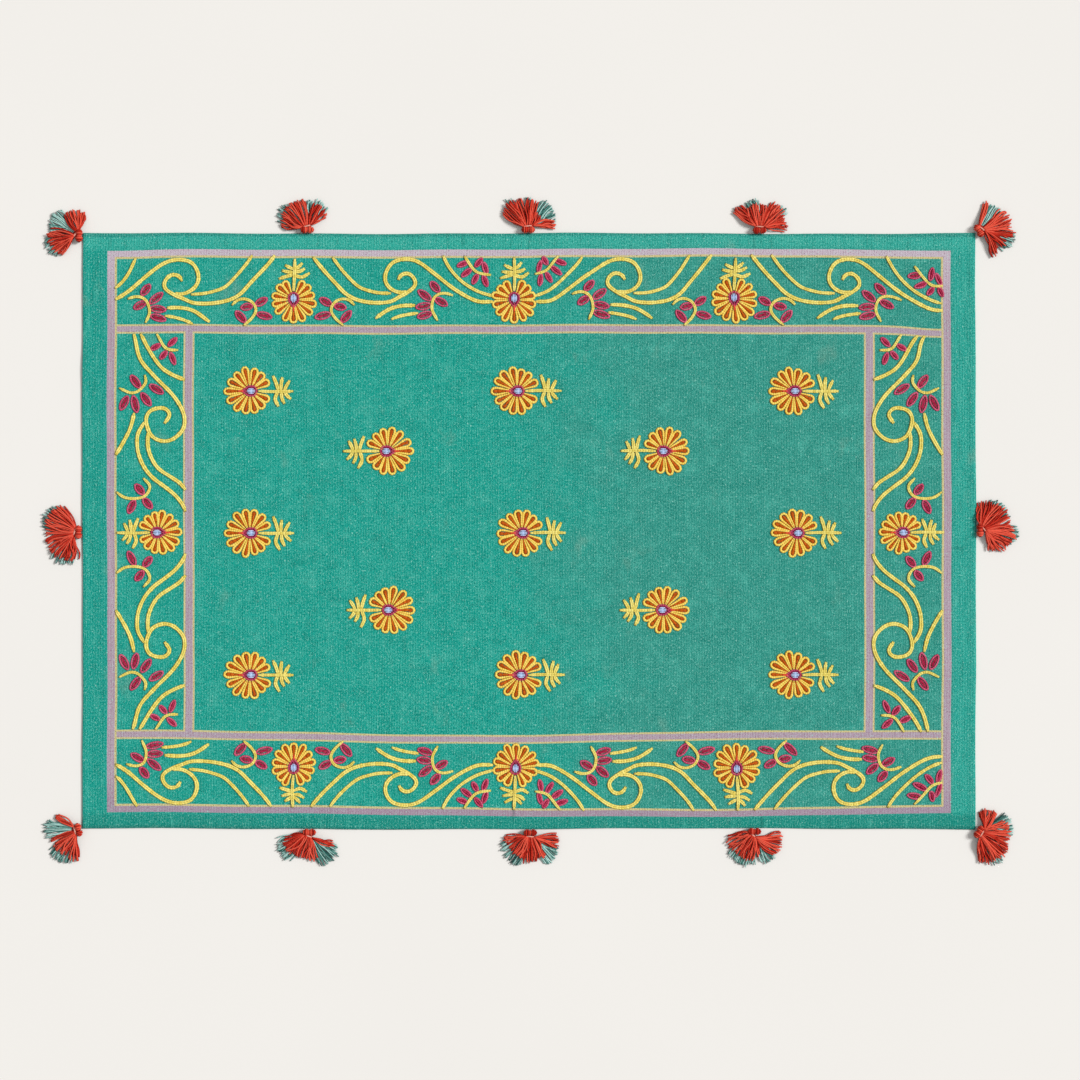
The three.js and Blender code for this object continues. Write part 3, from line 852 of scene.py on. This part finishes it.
def sew_petal(x, y, turn, bearing, size):
    tip = PETAL_TIP * size * draws.uniform(0.96, 1.04)
    half_width = PETAL_HALF_WIDTH * size * draws.uniform(0.9, 1.1)
    heart_x, heart_y = turned([(PETAL_MIDDLE, 0)], x, y, turn)[0]
    direction = turn + bearing + draws.uniform(-2.2, 2.2)
    near = 1 - 0.07 * math.cos(math.radians(bearing))
    lift = draws.uniform(0, 0.5)
    loop = turned(petal_loop(PETAL_BASE, tip * near, half_width), heart_x, heart_y, direction)
    petal_lines.sew(loop, lift=lift)
    first, last = PETAL_BASE + 3, tip * near - 4.5
    for aside, start, lift in PETAL_ROWS:
        row = [(first + start * (last - first), aside * 0.4), (last + 1.2 - 0.5 * abs(aside), aside)]
        petal_fill.sew(turned(row, heart_x, heart_y, direction), lift=lift)


def sew_flower(x, y, turn, size=1.0):
    for k in range(1, PETALS):
        sew_petal(x, y, turn, 360 * k / PETALS, size)
    scarlet_points.sew(turned(SCARLET_POINT, x, y, turn))
    ring_lines.sew(turned(RING_LOOP, x, y, turn), closed=True, lift=0.9, twist=0.2)
    ring_lines.sew(turned(RING_POINT, x, y, turn), width=5.6, overlap=1.8, lift=0.8)
    inner_rings.sew(turned(INNER_RING, x, y, turn))
    for aside, long in HEART_ROWS:
        row = [(HEART_OFFSET - long / 2, aside), (HEART_OFFSET + long / 2, aside)]
        hearts.sew(turned(row, x, y, turn), pitch=long / 3)
    bend = draws.uniform(-1.5, 1.5)
    fern_size, nearer = 1.0, 0
    if size < 1.0:
        fern_size, nearer = BORDER_FERN_SIZE, BORDER_FERN_NEARER
    stem = [(FERN_STEM[0], 0), (45, bend), (FERN_STEM[1] * fern_size * draws.uniform(0.96, 1), bend * 0.4)]
    fern_stems.sew(turned(stem, x, y, turn))
    # A fern that points the other way is the mirror image
    side = 1 if turn in (0, 90) else -1
    for root, (bend_at, bend_aside), (end_at, end_aside) in FERN_BRANCHES:
        long = side * draws.uniform(0.92, 1.06)
        slid = draws.uniform(-2, 2)
        branch = [(root - nearer, 0), (bend_at - nearer + 0.4 * slid, bend_aside * long),
                  (end_at - nearer + slid, end_aside * long)]
        fern_lines.sew(turned(branch, x, y, turn, fern_size))


for place in (*FIELD_FLOWERS, *BORDER_FLOWERS):
    sew_flower(*place)

sewn = [
    petal_fill.piece("flower_petal_fill", rust_yarn, "stitch_yarn_orange"),
    petal_lines.piece("flower_petal_lines", gold_yarn, "stitch_yarn_yellow"),
    ring_lines.piece("flower_rings", ring_yarn, "stitch_yarn_magenta"),
    inner_rings.piece("flower_inner_rings", plum_yarn, "stitch_yarn_magenta"),
    hearts.piece("flower_hearts", blue_yarn, "stitch_yarn_blue"),
    scarlet_points.piece("flower_points", point_yarn, "stitch_yarn_orange"),
    fern_stems.piece("fern_stems", yellow_yarn, "stitch_yarn_yellow"),
    fern_lines.piece("fern_branches", yellow_yarn, "stitch_yarn_yellow"),
]

# %% [markdown]
# ## Scrolls and leaf sprigs
# Between two border flowers runs a scroll, with three sprigs of magenta leaves. The other half of
# the repeat mirrors it, and so does the opposite border, so half a repeat is drawn once, from a few
# points a line passes through, and sewn in mirrored places. The short sides have a scroll of their
# own. Where a line would run off the end of the band, it stops at the dyed line there.

# %% Half a repeat of the long borders, [along, out] from a flower, in mm
BAND_END = (832, 552.5)
SPRIG_END = 815
FRONT_SQUEEZE = 0.945
THICK_LINE = 8.6
MIDDLE_LINE = 7.4

# How far out a line is splayed by its whole amount
SPLAY_REACH = 86

# Scroll lines: width, how far the line's outer end is splayed, and the points it passes through
SCROLLS = (
    (THICK_LINE, 8, (
        (33, 94), (61, 60), (84, 35), (107, 12), (132, 0), (165, -5), (198, -3), (216, 6), (233, 15),
        (249, 29), (248, 43), (236, 54), (222, 51), (217, 42))),
    (MIDDLE_LINE, 13, (
        (73, 94), (94, 66), (110, 48), (132, 28), (152, 20), (175, 15), (200, 14))),
    (THICK_LINE, 0, (
        (400, -3), (367, -1), (325, 22), (290, 50), (256, 76), (230, 83), (205, 77), (192, 59), (190, 40),
        (199, 25), (216, 16), (236, 16.5))),
    (MIDDLE_LINE, 0, ((402, 8), (371, 18), (344, 34), (325, 52), (311, 71), (300, 94))),
    (MIDDLE_LINE, 0, ((199, -38), (212, -33), (230, -29), (251, -26))),
    (THICK_LINE, 0, ((167, -36), (181, -26), (200, -16), (223, -11), (246, -10.5))),
)

# Half a leaf's width to the middle of its line, for wide and for slim leaves
WIDE_LEAF = 6.4
SLIM_LEAF = 4.4

# Sprigs: the leaves' half width, the stem, and each leaf's middle, direction in degrees and length
SPRIGS = (
    (WIDE_LEAF, ((290, -40), (280, -19), (283, 1.5), (293, 12), (307, 14), (321, 10)),
     ((265, -30, 17, 35), (264, -12, 9, 34), (267, 10, -41, 34), (298, -3, -30, 31), (287, 27, -52, 29))),
    (SLIM_LEAF, ((345, 88), (357.5, 68.5), (367, 58), (378, 53.6), (397, 51)),
     ((341, 73, 22, 27), (349, 56, 39, 29), (366, 43, 63, 26), (386, 39, 110, 29), (386, 65, 107, 28),
      (373, 76, 52, 26))),
    (WIDE_LEAF, ((99.5, -50), (84, -36), (75.6, -20.5), (82, -5), (98, 2.6), (113, 0), (123, -9)),
     ((59, -31, 14, 36), (65, -3, -30, 30), (94, -13, -10, 29), (106, -33, 49, 35))),
)

# %% Half of a short border, [up, in] from its flower, in mm
SIDE_SCROLLS = (
    (THICK_LINE, 0, (
        (402, -28), (352, -20), (316, 8), (277, 46), (245, 66), (221, 70), (204, 64), (188, 46), (184, 26),
        (192, 6), (208, -4), (229, -8), (245, 0), (251, 18), (249, 32), (237, 40), (221, 30))),
    (THICK_LINE, 0, ((402, -14), (376, -4), (350, 10), (330, 26), (317, 47), (308, 69))),
    (THICK_LINE, 0, (
        (221, -12), (200, -24), (180, -26), (158, -23), (132, -12), (110, 6), (92, 30), (75, 51), (56, 66),
        (44, 71))),
    (THICK_LINE, 0, ((200, -4), (172, -4), (148, 4), (128, 18), (112, 42), (100, 60), (87, 71))),
    (THICK_LINE, 0, ((240, -32), (212, -39), (185, -52), (153, -71))),
)
SIDE_SPRIGS = (
    (SLIM_LEAF, ((402, 18), (377, 29), (369, 40), (368, 57)),
     ((375, 13, 61, 27), (385, 47, 46, 29), (358, 28, 41, 26), (351, 46, 161, 29))),
    (WIDE_LEAF, ((291, -61), (281.5, -40), (284, -25), (294, -14), (304, -8), (317, -10)),
     ((304, -29, -36, 35), (289, 13, 122, 37), (268.5, -8, 144, 36), (259, -30, 167, 37),
      (261, -52, 28, 36))),
    (WIDE_LEAF, ((84, -70), (71, -52), (68.5, -29), (74.5, -9), (93, 0), (109, -12.5)),
     ((87, -21, 140, 29), (52, -37, 26, 34), (59, -5, 140, 30))),
)

# %% Sewing the borders
LEAF_LINE = 4.8

scroll_lines = Thread(CHAIN_LINK, height=4.3, pitch=5.2, overlap=2.0, limit=BAND_END, soften=6)
stem_lines = Thread(CHAIN_LINK, width=6.5, height=4.1, pitch=4.8, overlap=1.9, lift=0.5, limit=BAND_END,
                    soften=4)
leaf_lines = Thread(PLAIN_ARM, width=LEAF_LINE, height=YARN_HEIGHT, pitch=4.4, overlap=1.7, closed=True,
                    twist=0.16)
leaf_cores = Thread(PLAIN_ARM, width=3.8, height=3.0, overlap=1.6)


def leaf_loop(length, half_width):
    """A leaf's line, round-sided and pointed at both ends, along X."""
    half = length / 2 - LEAF_LINE / 2
    side = [(half * share, half_width * wide) for share, wide in ((-0.55, 0.8), (0.1, 1), (0.65, 0.72))]
    return [(-half, 0), *there_and_back(side, (half, 0))]


def sew_leaf(x, y, direction, length, half_width):
    loop = turned(leaf_loop(length * draws.uniform(0.95, 1.05), half_width), x, y, direction)
    leaf_lines.sew(loop)
    core = 0.33 * half_width
    # A slim leaf has no room for its core inside its line, so the middle row lies on top
    middle_lift = 1.3 if half_width < WIDE_LEAF else 0.1
    for aside, share, lift in ((-core, 0.22, 0), (core, 0.22, 0), (0, 0.32, middle_lift)):
        reach = length * share
        leaf_cores.sew(turned([(-reach, aside), (reach, aside)], x, y, direction), pitch=reach, lift=lift)


def sew_half_repeat(scrolls, sprigs, to_cloth, splay=0):
    """Sews one half repeat, after to_cloth has turned its own measure into places on the cloth."""
    for width, spread_by, points in scrolls:
        line = [(along + splay * spread_by * max(0, out) / SPLAY_REACH, out) for along, out in points]
        scroll_lines.sew(to_cloth(line), width=width)
    for half_width, points, leaves in sprigs:
        stem = to_cloth(points)
        if np.abs(stem[:, 0]).mean() > SPRIG_END:
            continue
        for along, out, direction, length in leaves:
            spot = np.array((along, out))
            middle, ahead = to_cloth((spot, spot + unit(direction)))
            heading = math.degrees(math.atan2(*(ahead - middle)[::-1]))
            sew_leaf(*middle, heading, length, half_width)
        stem_lines.sew(stem)


def long_border(flower_x, row, way, squeeze):
    """Turns [along, out] from a flower into places on a long border."""
    outward = 1 if row > 0 else -1
    return lambda line: np.array(
        [(flower_x + way * along, row + outward * out * (squeeze if out > 0 else 1)) for along, out in line])


for row, squeeze in ((BACK_ROW, 1), (FRONT_ROW, FRONT_SQUEEZE)):
    for start in (-1, 1):
        for way in (-1, 1):
            to_cloth = long_border(REPEAT_MIDDLE + start * HALF_REPEAT, row, way, squeeze)
            sew_half_repeat(SCROLLS, SPRIGS, to_cloth, splay=1 if way < 0 else 0)
for side in (-1, 1):
    for way in (-1, 1):
        sew_half_repeat(SIDE_SCROLLS, SIDE_SPRIGS, lambda line: np.array(
            [(side * (SIDE_ROW - into), SIDE_FLOWER_Y + way * up) for up, into in line]))

sewn += [
    scroll_lines.piece("border_scrolls", yellow_yarn, "stitch_yarn_yellow"),
    stem_lines.piece("sprig_stems", yellow_yarn, "stitch_yarn_yellow"),
    leaf_lines.piece("leaf_lines", pink_yarn, "stitch_yarn_magenta"),
    leaf_cores.piece("leaf_cores", crimson_yarn, "stitch_yarn_magenta"),
]

# %% [markdown]
# ## Tassels
# A tassel is a bundle of yarn folded over, bound at the neck and sewn to the edge by its head. Below
# the neck it fans out flat on the floor in lobes, red on top and grey-teal underneath. Each lobe is
# a brush of strands: they spread as they leave the neck and gather again towards their tips. One
# strand is made from a cone with straight sides, cut across many times, and bent along a path of
# its own. The head is two round lumps of folded yarn over a solid core, and a pale thread is wound
# round the neck.

# %% Tassel sizes and places
GAP = 0.3
HEAD_FOOT = 5.2
HEAD_BELLY = 6.6
HEAD_BELLY_HEIGHT = 4.0
NECK_OFFSET = 7.5
SKIRT_OFFSET = 12
STRAND_WIDTH = 3.0

# Each tassel: where it is sewn, the way its head faces, the way its neck leans, and its lobes:
# yarn, from, to and reach, with angles in degrees from +X and lengths in mm
TASSELS = (
    ("tassel_corner_back_left", (-900, 594), 180, 141, (
        ("red", 58, 124, 44), ("grey", 126, 176, 57), ("red", 176, 241, 57), ("grey", 190, 232, 66))),
    ("tassel_back_left", (-447, 600), 90, 106, (
        ("red", 93, 186, 52), ("grey", 135, 172, 62), ("grey", 74, 86, 50), ("red", 22, 70, 48),
        ("grey", 36, 68, 55))),
    ("tassel_back_middle", (-2, 600), 90, 96, (
        ("red", 103, 160, 57), ("grey", 127, 135, 66), ("grey", 82, 96, 55), ("red", 64, 92, 51),
        ("grey", 9, 58, 60), ("red", -9, 7, 57), ("red", 20, 60, 30))),
    ("tassel_back_right", (464, 600), 90, 84, (
        ("red", 133, 161, 60), ("red", 72, 130, 43), ("grey", 96, 127, 54), ("red", 14, 64, 54),
        ("red", -12, 12, 55), ("grey", 22, 42, 60))),
    ("tassel_corner_back_right", (900, 600), 31, 50, (
        ("red", 76, 88, 50), ("grey", 28, 70, 49), ("red", -5, 38, 57), ("red", -22, -5, 66),
        ("red", -50, -22, 58), ("grey", -45, -15, 70), ("red", -74, -58, 64))),
    ("tassel_right", (900, 2), 0, 40, (
        ("red", 66, 106, 52), ("grey", 22, 76, 58), ("red", 0, 64, 54), ("red", -60, -3, 64),
        ("grey", -32, 0, 70), ("red", -82, -60, 52))),
    ("tassel_corner_front_right", (900, -600), -33, -33, (
        ("red", 56, 98, 52), ("grey", 0, 45, 63), ("red", -14, 34, 54), ("red", -56, -20, 58),
        ("red", -101, -58, 57), ("grey", -68, -50, 66))),
    ("tassel_front_right", (454, -600), 270, 230, (
        ("red", 181, 225, 48), ("grey", 218, 278, 61), ("red", 228, 292, 48), ("grey", 292, 330, 64),
        ("red", 322, 368, 66))),
    ("tassel_front_middle", (3, -600), 270, 263, (
        ("red", 172, 190, 54), ("grey", 190, 250, 62), ("red", 190, 245, 44), ("red", 248, 295, 48),
        ("grey", 298, 342, 65), ("red", 300, 315, 48), ("red", 340, 370, 60))),
    ("tassel_front_left", (-442, -600), 270, 246, (
        ("red", 178, 220, 50), ("grey", 186, 230, 64), ("red", 220, 276, 44), ("red", 278, 294, 48),
        ("grey", 296, 344, 68), ("red", 340, 352, 58))),
    ("tassel_corner_front_left", (-900, -600), 195, 195, (
        ("red", 130, 146, 46), ("grey", 156, 192, 58), ("red", 196, 214, 48), ("red", 218, 254, 52),
        ("grey", 222, 264, 68), ("red", 266, 283, 61))),
    ("tassel_left", (-900, -3), 180, 162, (
        ("red", 114, 180, 59), ("grey", 126, 172, 66), ("red", 192, 278, 62), ("grey", 228, 268, 72))),
)

# %% A strand to bend
STRAND_CUTS = 12


def straight_strand(sides, cuts):
    """A strand along X from 0 to 1, cut across evenly, one unit wide."""
    strand = bmesh.new()
    strand.loops.layers.uv.new("along_yarn")
    bmesh.ops.create_cone(strand, cap_ends=True, segments=sides, radius1=0.5, radius2=0.5, depth=1,
                          calc_uvs=True)
    bmesh.ops.rotate(strand, verts=strand.verts, matrix=Matrix.Rotation(math.pi / 2, 3, "Y"))
    bmesh.ops.translate(strand, verts=strand.verts, vec=(0.5, 0, 0))
    for cut in range(1, cuts):
        whole = [*strand.verts, *strand.edges, *strand.faces]
        bmesh.ops.bisect_plane(strand, geom=whole, plane_co=(cut / cuts, 0, 0), plane_no=(1, 0, 0))
    return strand


STRAND = Stamp(straight_strand(6, STRAND_CUTS))
print("faces in one strand:", len(STRAND.faces))


class Bundle:
    """Strands of one yarn: each is a path of points, which the straight strand is bent along."""

    def __init__(self):
        self.copies = []
        self.notes = {"standing": [], "shade": []}

    def lay(self, path, width, taper=0.85):
        """Bends one strand along a path with three numbers a point, in mm."""
        path = np.array(path, float)
        gone = length_gone(path)
        gone = gone / gone[-1]
        share = STRAND.points[:, 0]

        def at(where):
            return places_at(path, gone, np.clip(where, 0, 1))

        ahead = at(share + 0.06) - at(share - 0.06)
        ahead /= np.linalg.norm(ahead, axis=1)[:, None]
        aside = np.cross(np.array([0, 0, 1.0]), ahead)
        aside /= np.linalg.norm(aside, axis=1)[:, None] + 1e-9
        above = np.cross(ahead, aside)
        wide = width * (1 + (taper - 1) * np.clip(share * 8 - 7, 0, 1))
        placed = at(share) + aside * (STRAND.points[:, 1] * wide)[:, None]
        placed = placed + above * (STRAND.points[:, 2] * wide)[:, None]
        self.copies.append(placed * MM)
        # How high a point is round the strand, for the finish's painted shade and highlight
        self.notes["standing"].append(STRAND.points[:, 2] + 0.5)
        self.notes["shade"].append(np.full(len(share), draws.uniform(-1, 1)))

    def piece(self, name, material, slot_name):
        notes = {note: np.concatenate(values) for note, values in self.notes.items()}
        mesh = copies_mesh(name, STRAND, np.array(self.copies), notes)
        return add_piece(name, mesh, material)


# %% Tassel finishes
TASSEL_LOOK = {"low": 0.46, "high": 1.06, "ply_turns": 9}
red_yarn = yarn("tassel_yarn_coral_red", (92, 0, 0), (192, 42, 26), (232, 92, 70),
                shade_share=0.26, **TASSEL_LOOK)
grey_yarn = yarn("tassel_yarn_grey_teal", (14, 58, 56), (84, 144, 134), (176, 214, 206),
                 shade_share=0.4, **TASSEL_LOOK)
tie_yarn = yarn("tassel_tie_thread", (150, 84, 72), (206, 138, 120), (236, 172, 154))

# %% Laying out one tassel's skirt
PATH_STEPS = 14
ROOT_SPREAD = 9.5
WIDEST_START = 118
FIRST_PULL = 0.42
LAST_PULL = 0.30
# Each yarn: its width, how close the strands lie, then, for the upper and the lower layer, how high
# the roots are and how far the tips stand off the floor, with the play in both
SKIRT_YARNS = {
    "red": {"width": STRAND_WIDTH, "pitch": 3.3, "roots": (9.0, 6.5), "root_play": (-0.6, 0.8),
            "tips": (2.6, 0.4), "tip_play": 1.0},
    "grey": {"width": 2.5, "pitch": 2.8, "roots": (4.2, 2.6), "root_play": (-0.3, 0.4),
             "tips": (1.7, 0.0), "tip_play": 0.6},
}
OVER_GREY = 2.6
CLOTH_TOP = (THICKNESS + HEM_RISE) / MM
# How strands differ: in bearing, in degrees, then in reach and width, as shares
BEARING_PLAY = 1.9
REACH_PLAY = 0.035
WIDTH_PLAY = (0.88, 1.12)
# How much less far a lobe's outer strands and its lower layer reach, as shares
OUTER_SHORTER = 0.07
LOWER_SHORTER = 0.03
# How far a strand sways to the side, in mm, and in how many half waves
SWAY = 2.0
SWAY_WAVES = (0.8, 2.4)


def seat_distance(x):
    edge_height = (THICKNESS + (HEM_RISE if abs(x) == 900 else 0)) / MM
    return HEAD_FOOT + (HEAD_BELLY - HEAD_FOOT) * edge_height / HEAD_BELLY_HEIGHT + GAP


def strand_plan(head, lean, middle, bearing, reach):
    """A strand seen from above: it spreads as it leaves the neck, and its tip turns back to its lobe."""
    fan = bearing - lean
    root = head + unit(lean) * NECK_OFFSET + unit(lean + 90) * ROOT_SPREAD * math.sin(math.radians(fan))
    start = 0.9 * (middle - lean) + 1.35 * (bearing - middle)
    start = lean + max(-WIDEST_START, min(WIDEST_START, start))
    tip = head + unit(lean) * SKIRT_OFFSET + reach * unit(bearing)
    first = root + FIRST_PULL * reach * unit(start)
    last = tip - LAST_PULL * reach * unit(middle + 0.55 * (bearing - middle))
    share = np.linspace(0, 1, PATH_STEPS)[:, None]
    plan = (1 - share) ** 3 * root + 3 * share * (1 - share) ** 2 * first
    plan = plan + 3 * share ** 2 * (1 - share) * last + share ** 3 * tip
    sway = draws.normal(0, SWAY) * np.sin(np.pi * share * draws.uniform(*SWAY_WAVES))
    return plan + sway * unit(bearing + 90), share


def over_cloth(plan):
    """How much of the cloth's height a point must clear: 1 over the cloth, 0 away from it."""
    inward = np.minimum(LENGTH / 2 / MM - np.abs(plan[:, :1]), WIDTH / 2 / MM - np.abs(plan[:, 1:]))
    return np.clip((inward + 5) / 4, 0, 1)


def strand_path(head, lean, middle, bearing, reach, root_height, tip_rise):
    plan, share = strand_plan(head, lean, middle, bearing, reach)
    lying = STRAND_WIDTH / 2 + tip_rise
    height = lying + (root_height - lying) * (1 - share) ** 1.6
    height = height + 0.35 * root_height * np.sin(np.pi * np.sqrt(share)) * (1 - share)
    return np.hstack([plan, np.maximum(height, over_cloth(plan) * (CLOTH_TOP + STRAND_WIDTH / 2 + 0.3))])


def lay_skirt(head, lean, lobes, bundles):
    grey_ranges = [lobe[1:3] for lobe in lobes if lobe[0] == "grey"]
    for colour, first, last, reach in lobes:
        kind = SKIRT_YARNS[colour]
        count = max(3, round(math.radians(last - first) * 0.75 * reach / kind["pitch"]) + 1)
        middle = (first + last) / 2
        for layer in (0, 1):
            for k in range(count + layer):
                share = (k + 0.5 - 0.5 * layer) / count
                bearing = first + (last - first) * share + draws.normal(0, BEARING_PLAY)
                ahead = 1 - OUTER_SHORTER * (2 * share - 1) ** 2 - LOWER_SHORTER * layer
                ahead = ahead + draws.normal(0, REACH_PLAY)
                width = kind["width"] * draws.uniform(*WIDTH_PLAY)
                # Red strands that lie over grey ones are that much higher
                over = colour == "red" and any(a - 3 < bearing < b + 3 for a, b in grey_ranges)
                tip_rise = kind["tips"][layer] + OVER_GREY * over + draws.uniform(0, kind["tip_play"])
                root_height = kind["roots"][layer] + draws.uniform(*kind["root_play"])
                path = strand_path(head, lean, middle, bearing, reach * ahead, root_height, tip_rise)
                bundles[colour].lay(path, width)


# %% Laying out its head and its tie
LUMP_ASIDE = 6.0
LUMP_RADII = (6.0, 6.4, 6.6)
LUMP_HEIGHT = 8.4
LUMP_LOOPS = 6
LOOP_TILT = 78
LOOP_ENDS = (-38, 206)
LOOP_WIDTH = 3.3
TIE_OFFSET = 7.4
TIE_TURNS = 2
TIE_WIDTH = 1.5
TIE_RADII = (10.8, 5.4)
TIE_HEIGHT = 6.4


def lay_head(head, facing, reds):
    """Two lumps of folded yarn side by side along the cloth's edge, as loops over each lump."""
    ahead, aside = unit(facing), unit(facing + 90)
    for side in (-1, 1):
        middle = head + aside * side * LUMP_ASIDE
        for k in range(LUMP_LOOPS):
            tilt = math.radians(-LOOP_TILT + 2 * LOOP_TILT * k / (LUMP_LOOPS - 1)) + draws.normal(0, 0.04)
            round_by = np.linspace(*np.radians(LOOP_ENDS), 12)
            back = -np.cos(round_by) * math.cos(tilt) * LUMP_RADII[0]
            across = np.full(len(round_by), math.sin(tilt) * LUMP_RADII[1])
            height = LUMP_HEIGHT + np.sin(round_by) * math.cos(tilt) * LUMP_RADII[2]
            plan = middle + np.outer(back, ahead) + np.outer(across, aside)
            height = np.maximum(height, LOOP_WIDTH / 2 + 0.1)
            reds.lay(np.column_stack([plan, height]), LOOP_WIDTH, taper=1.0)


def lay_tie(head, lean, threads):
    """A pale thread wound round the neck, just past the head."""
    middle = head + unit(lean) * TIE_OFFSET
    turns = np.linspace(0, 2 * math.pi * TIE_TURNS, 20 * TIE_TURNS)
    for part in np.array_split(np.arange(len(turns)), TIE_TURNS * 2):
        part = np.append(part, min(part[-1] + 1, len(turns) - 1))
        angle = turns[part]
        along = (angle / (2 * math.pi) - TIE_TURNS / 2) * TIE_WIDTH * 0.8
        aside = np.cos(angle) * TIE_RADII[0]
        height = TIE_HEIGHT + np.sin(angle) * TIE_RADII[1]
        plan = middle + np.outer(along, unit(lean)) + np.outer(aside, unit(lean + 90))
        threads.lay(np.column_stack([plan, height]), TIE_WIDTH, taper=1.0)


# %% Tassels
# Solid forms inside the yarn: [along the turn, aside, up] radii, and the middle's height, in mm
LUMP_CORE = ((4.9, 5.0, 5.9), 8.2)
NECK_CORE = ((5.4, 10.4, 5.2), 6.4)


def egg(core, middle, degrees, radii, height):
    made = bmesh.ops.create_icosphere(core, subdivisions=3, radius=1)["verts"]
    bmesh.ops.scale(core, verts=made, vec=[radius * MM for radius in radii])
    bmesh.ops.rotate(core, verts=made, matrix=Matrix.Rotation(math.radians(degrees), 3, "Z"))
    bmesh.ops.translate(core, verts=made, vec=(*(middle * MM), height * MM))


def head_core_mesh(head, facing, lean):
    """The solid bundles under the loops and at the neck."""
    core = bmesh.new()
    for side in (-1, 1):
        egg(core, head + unit(facing + 90) * side * LUMP_ASIDE, facing, *LUMP_CORE)
    egg(core, head + unit(lean) * NECK_OFFSET, lean, *NECK_CORE)
    mesh = bpy.data.meshes.new("core")
    core.to_mesh(mesh)
    core.free()
    return mesh


core_finish = Finish("tassel_core_red", roughness=0.95)
core_fluff = core_finish.noise(core_finish.place(), 500, detail=3)
core_finish.colour(core_finish.blend(core_fluff, seen(104, 8, 4), seen(176, 36, 24)))
core_finish.bump(core_fluff, 0.4, 0.4 * MM)

tassel_pieces = []
for name, (x, y), facing, lean, lobes in TASSELS:
    head = np.array(on_outline(x * MM, y * MM)) / MM + unit(facing) * seat_distance(x)
    reds, greys, threads = Bundle(), Bundle(), Bundle()
    lay_skirt(head, lean, lobes, {"red": reds, "grey": greys})
    lay_head(head, facing, reds)
    lay_tie(head, lean, threads)
    skirt = reds.piece(name + "_red_yarn", red_yarn, "tassel_yarn_red")
    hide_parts(name)
    core_mesh = head_core_mesh(head, facing, lean)
    tassel_pieces += [
        skirt,
        greys.piece(name + "_grey_yarn", grey_yarn, "tassel_yarn_grey_teal"),
        threads.piece(name + "_tie", tie_yarn, "tassel_tie"),
        add_piece(name + "_core", core_mesh, core_finish.material),
    ]
    print(name, "red strands:", len(reds.copies), "grey strands:", len(greys.copies))
print("tassel pieces:", len(tassel_pieces))
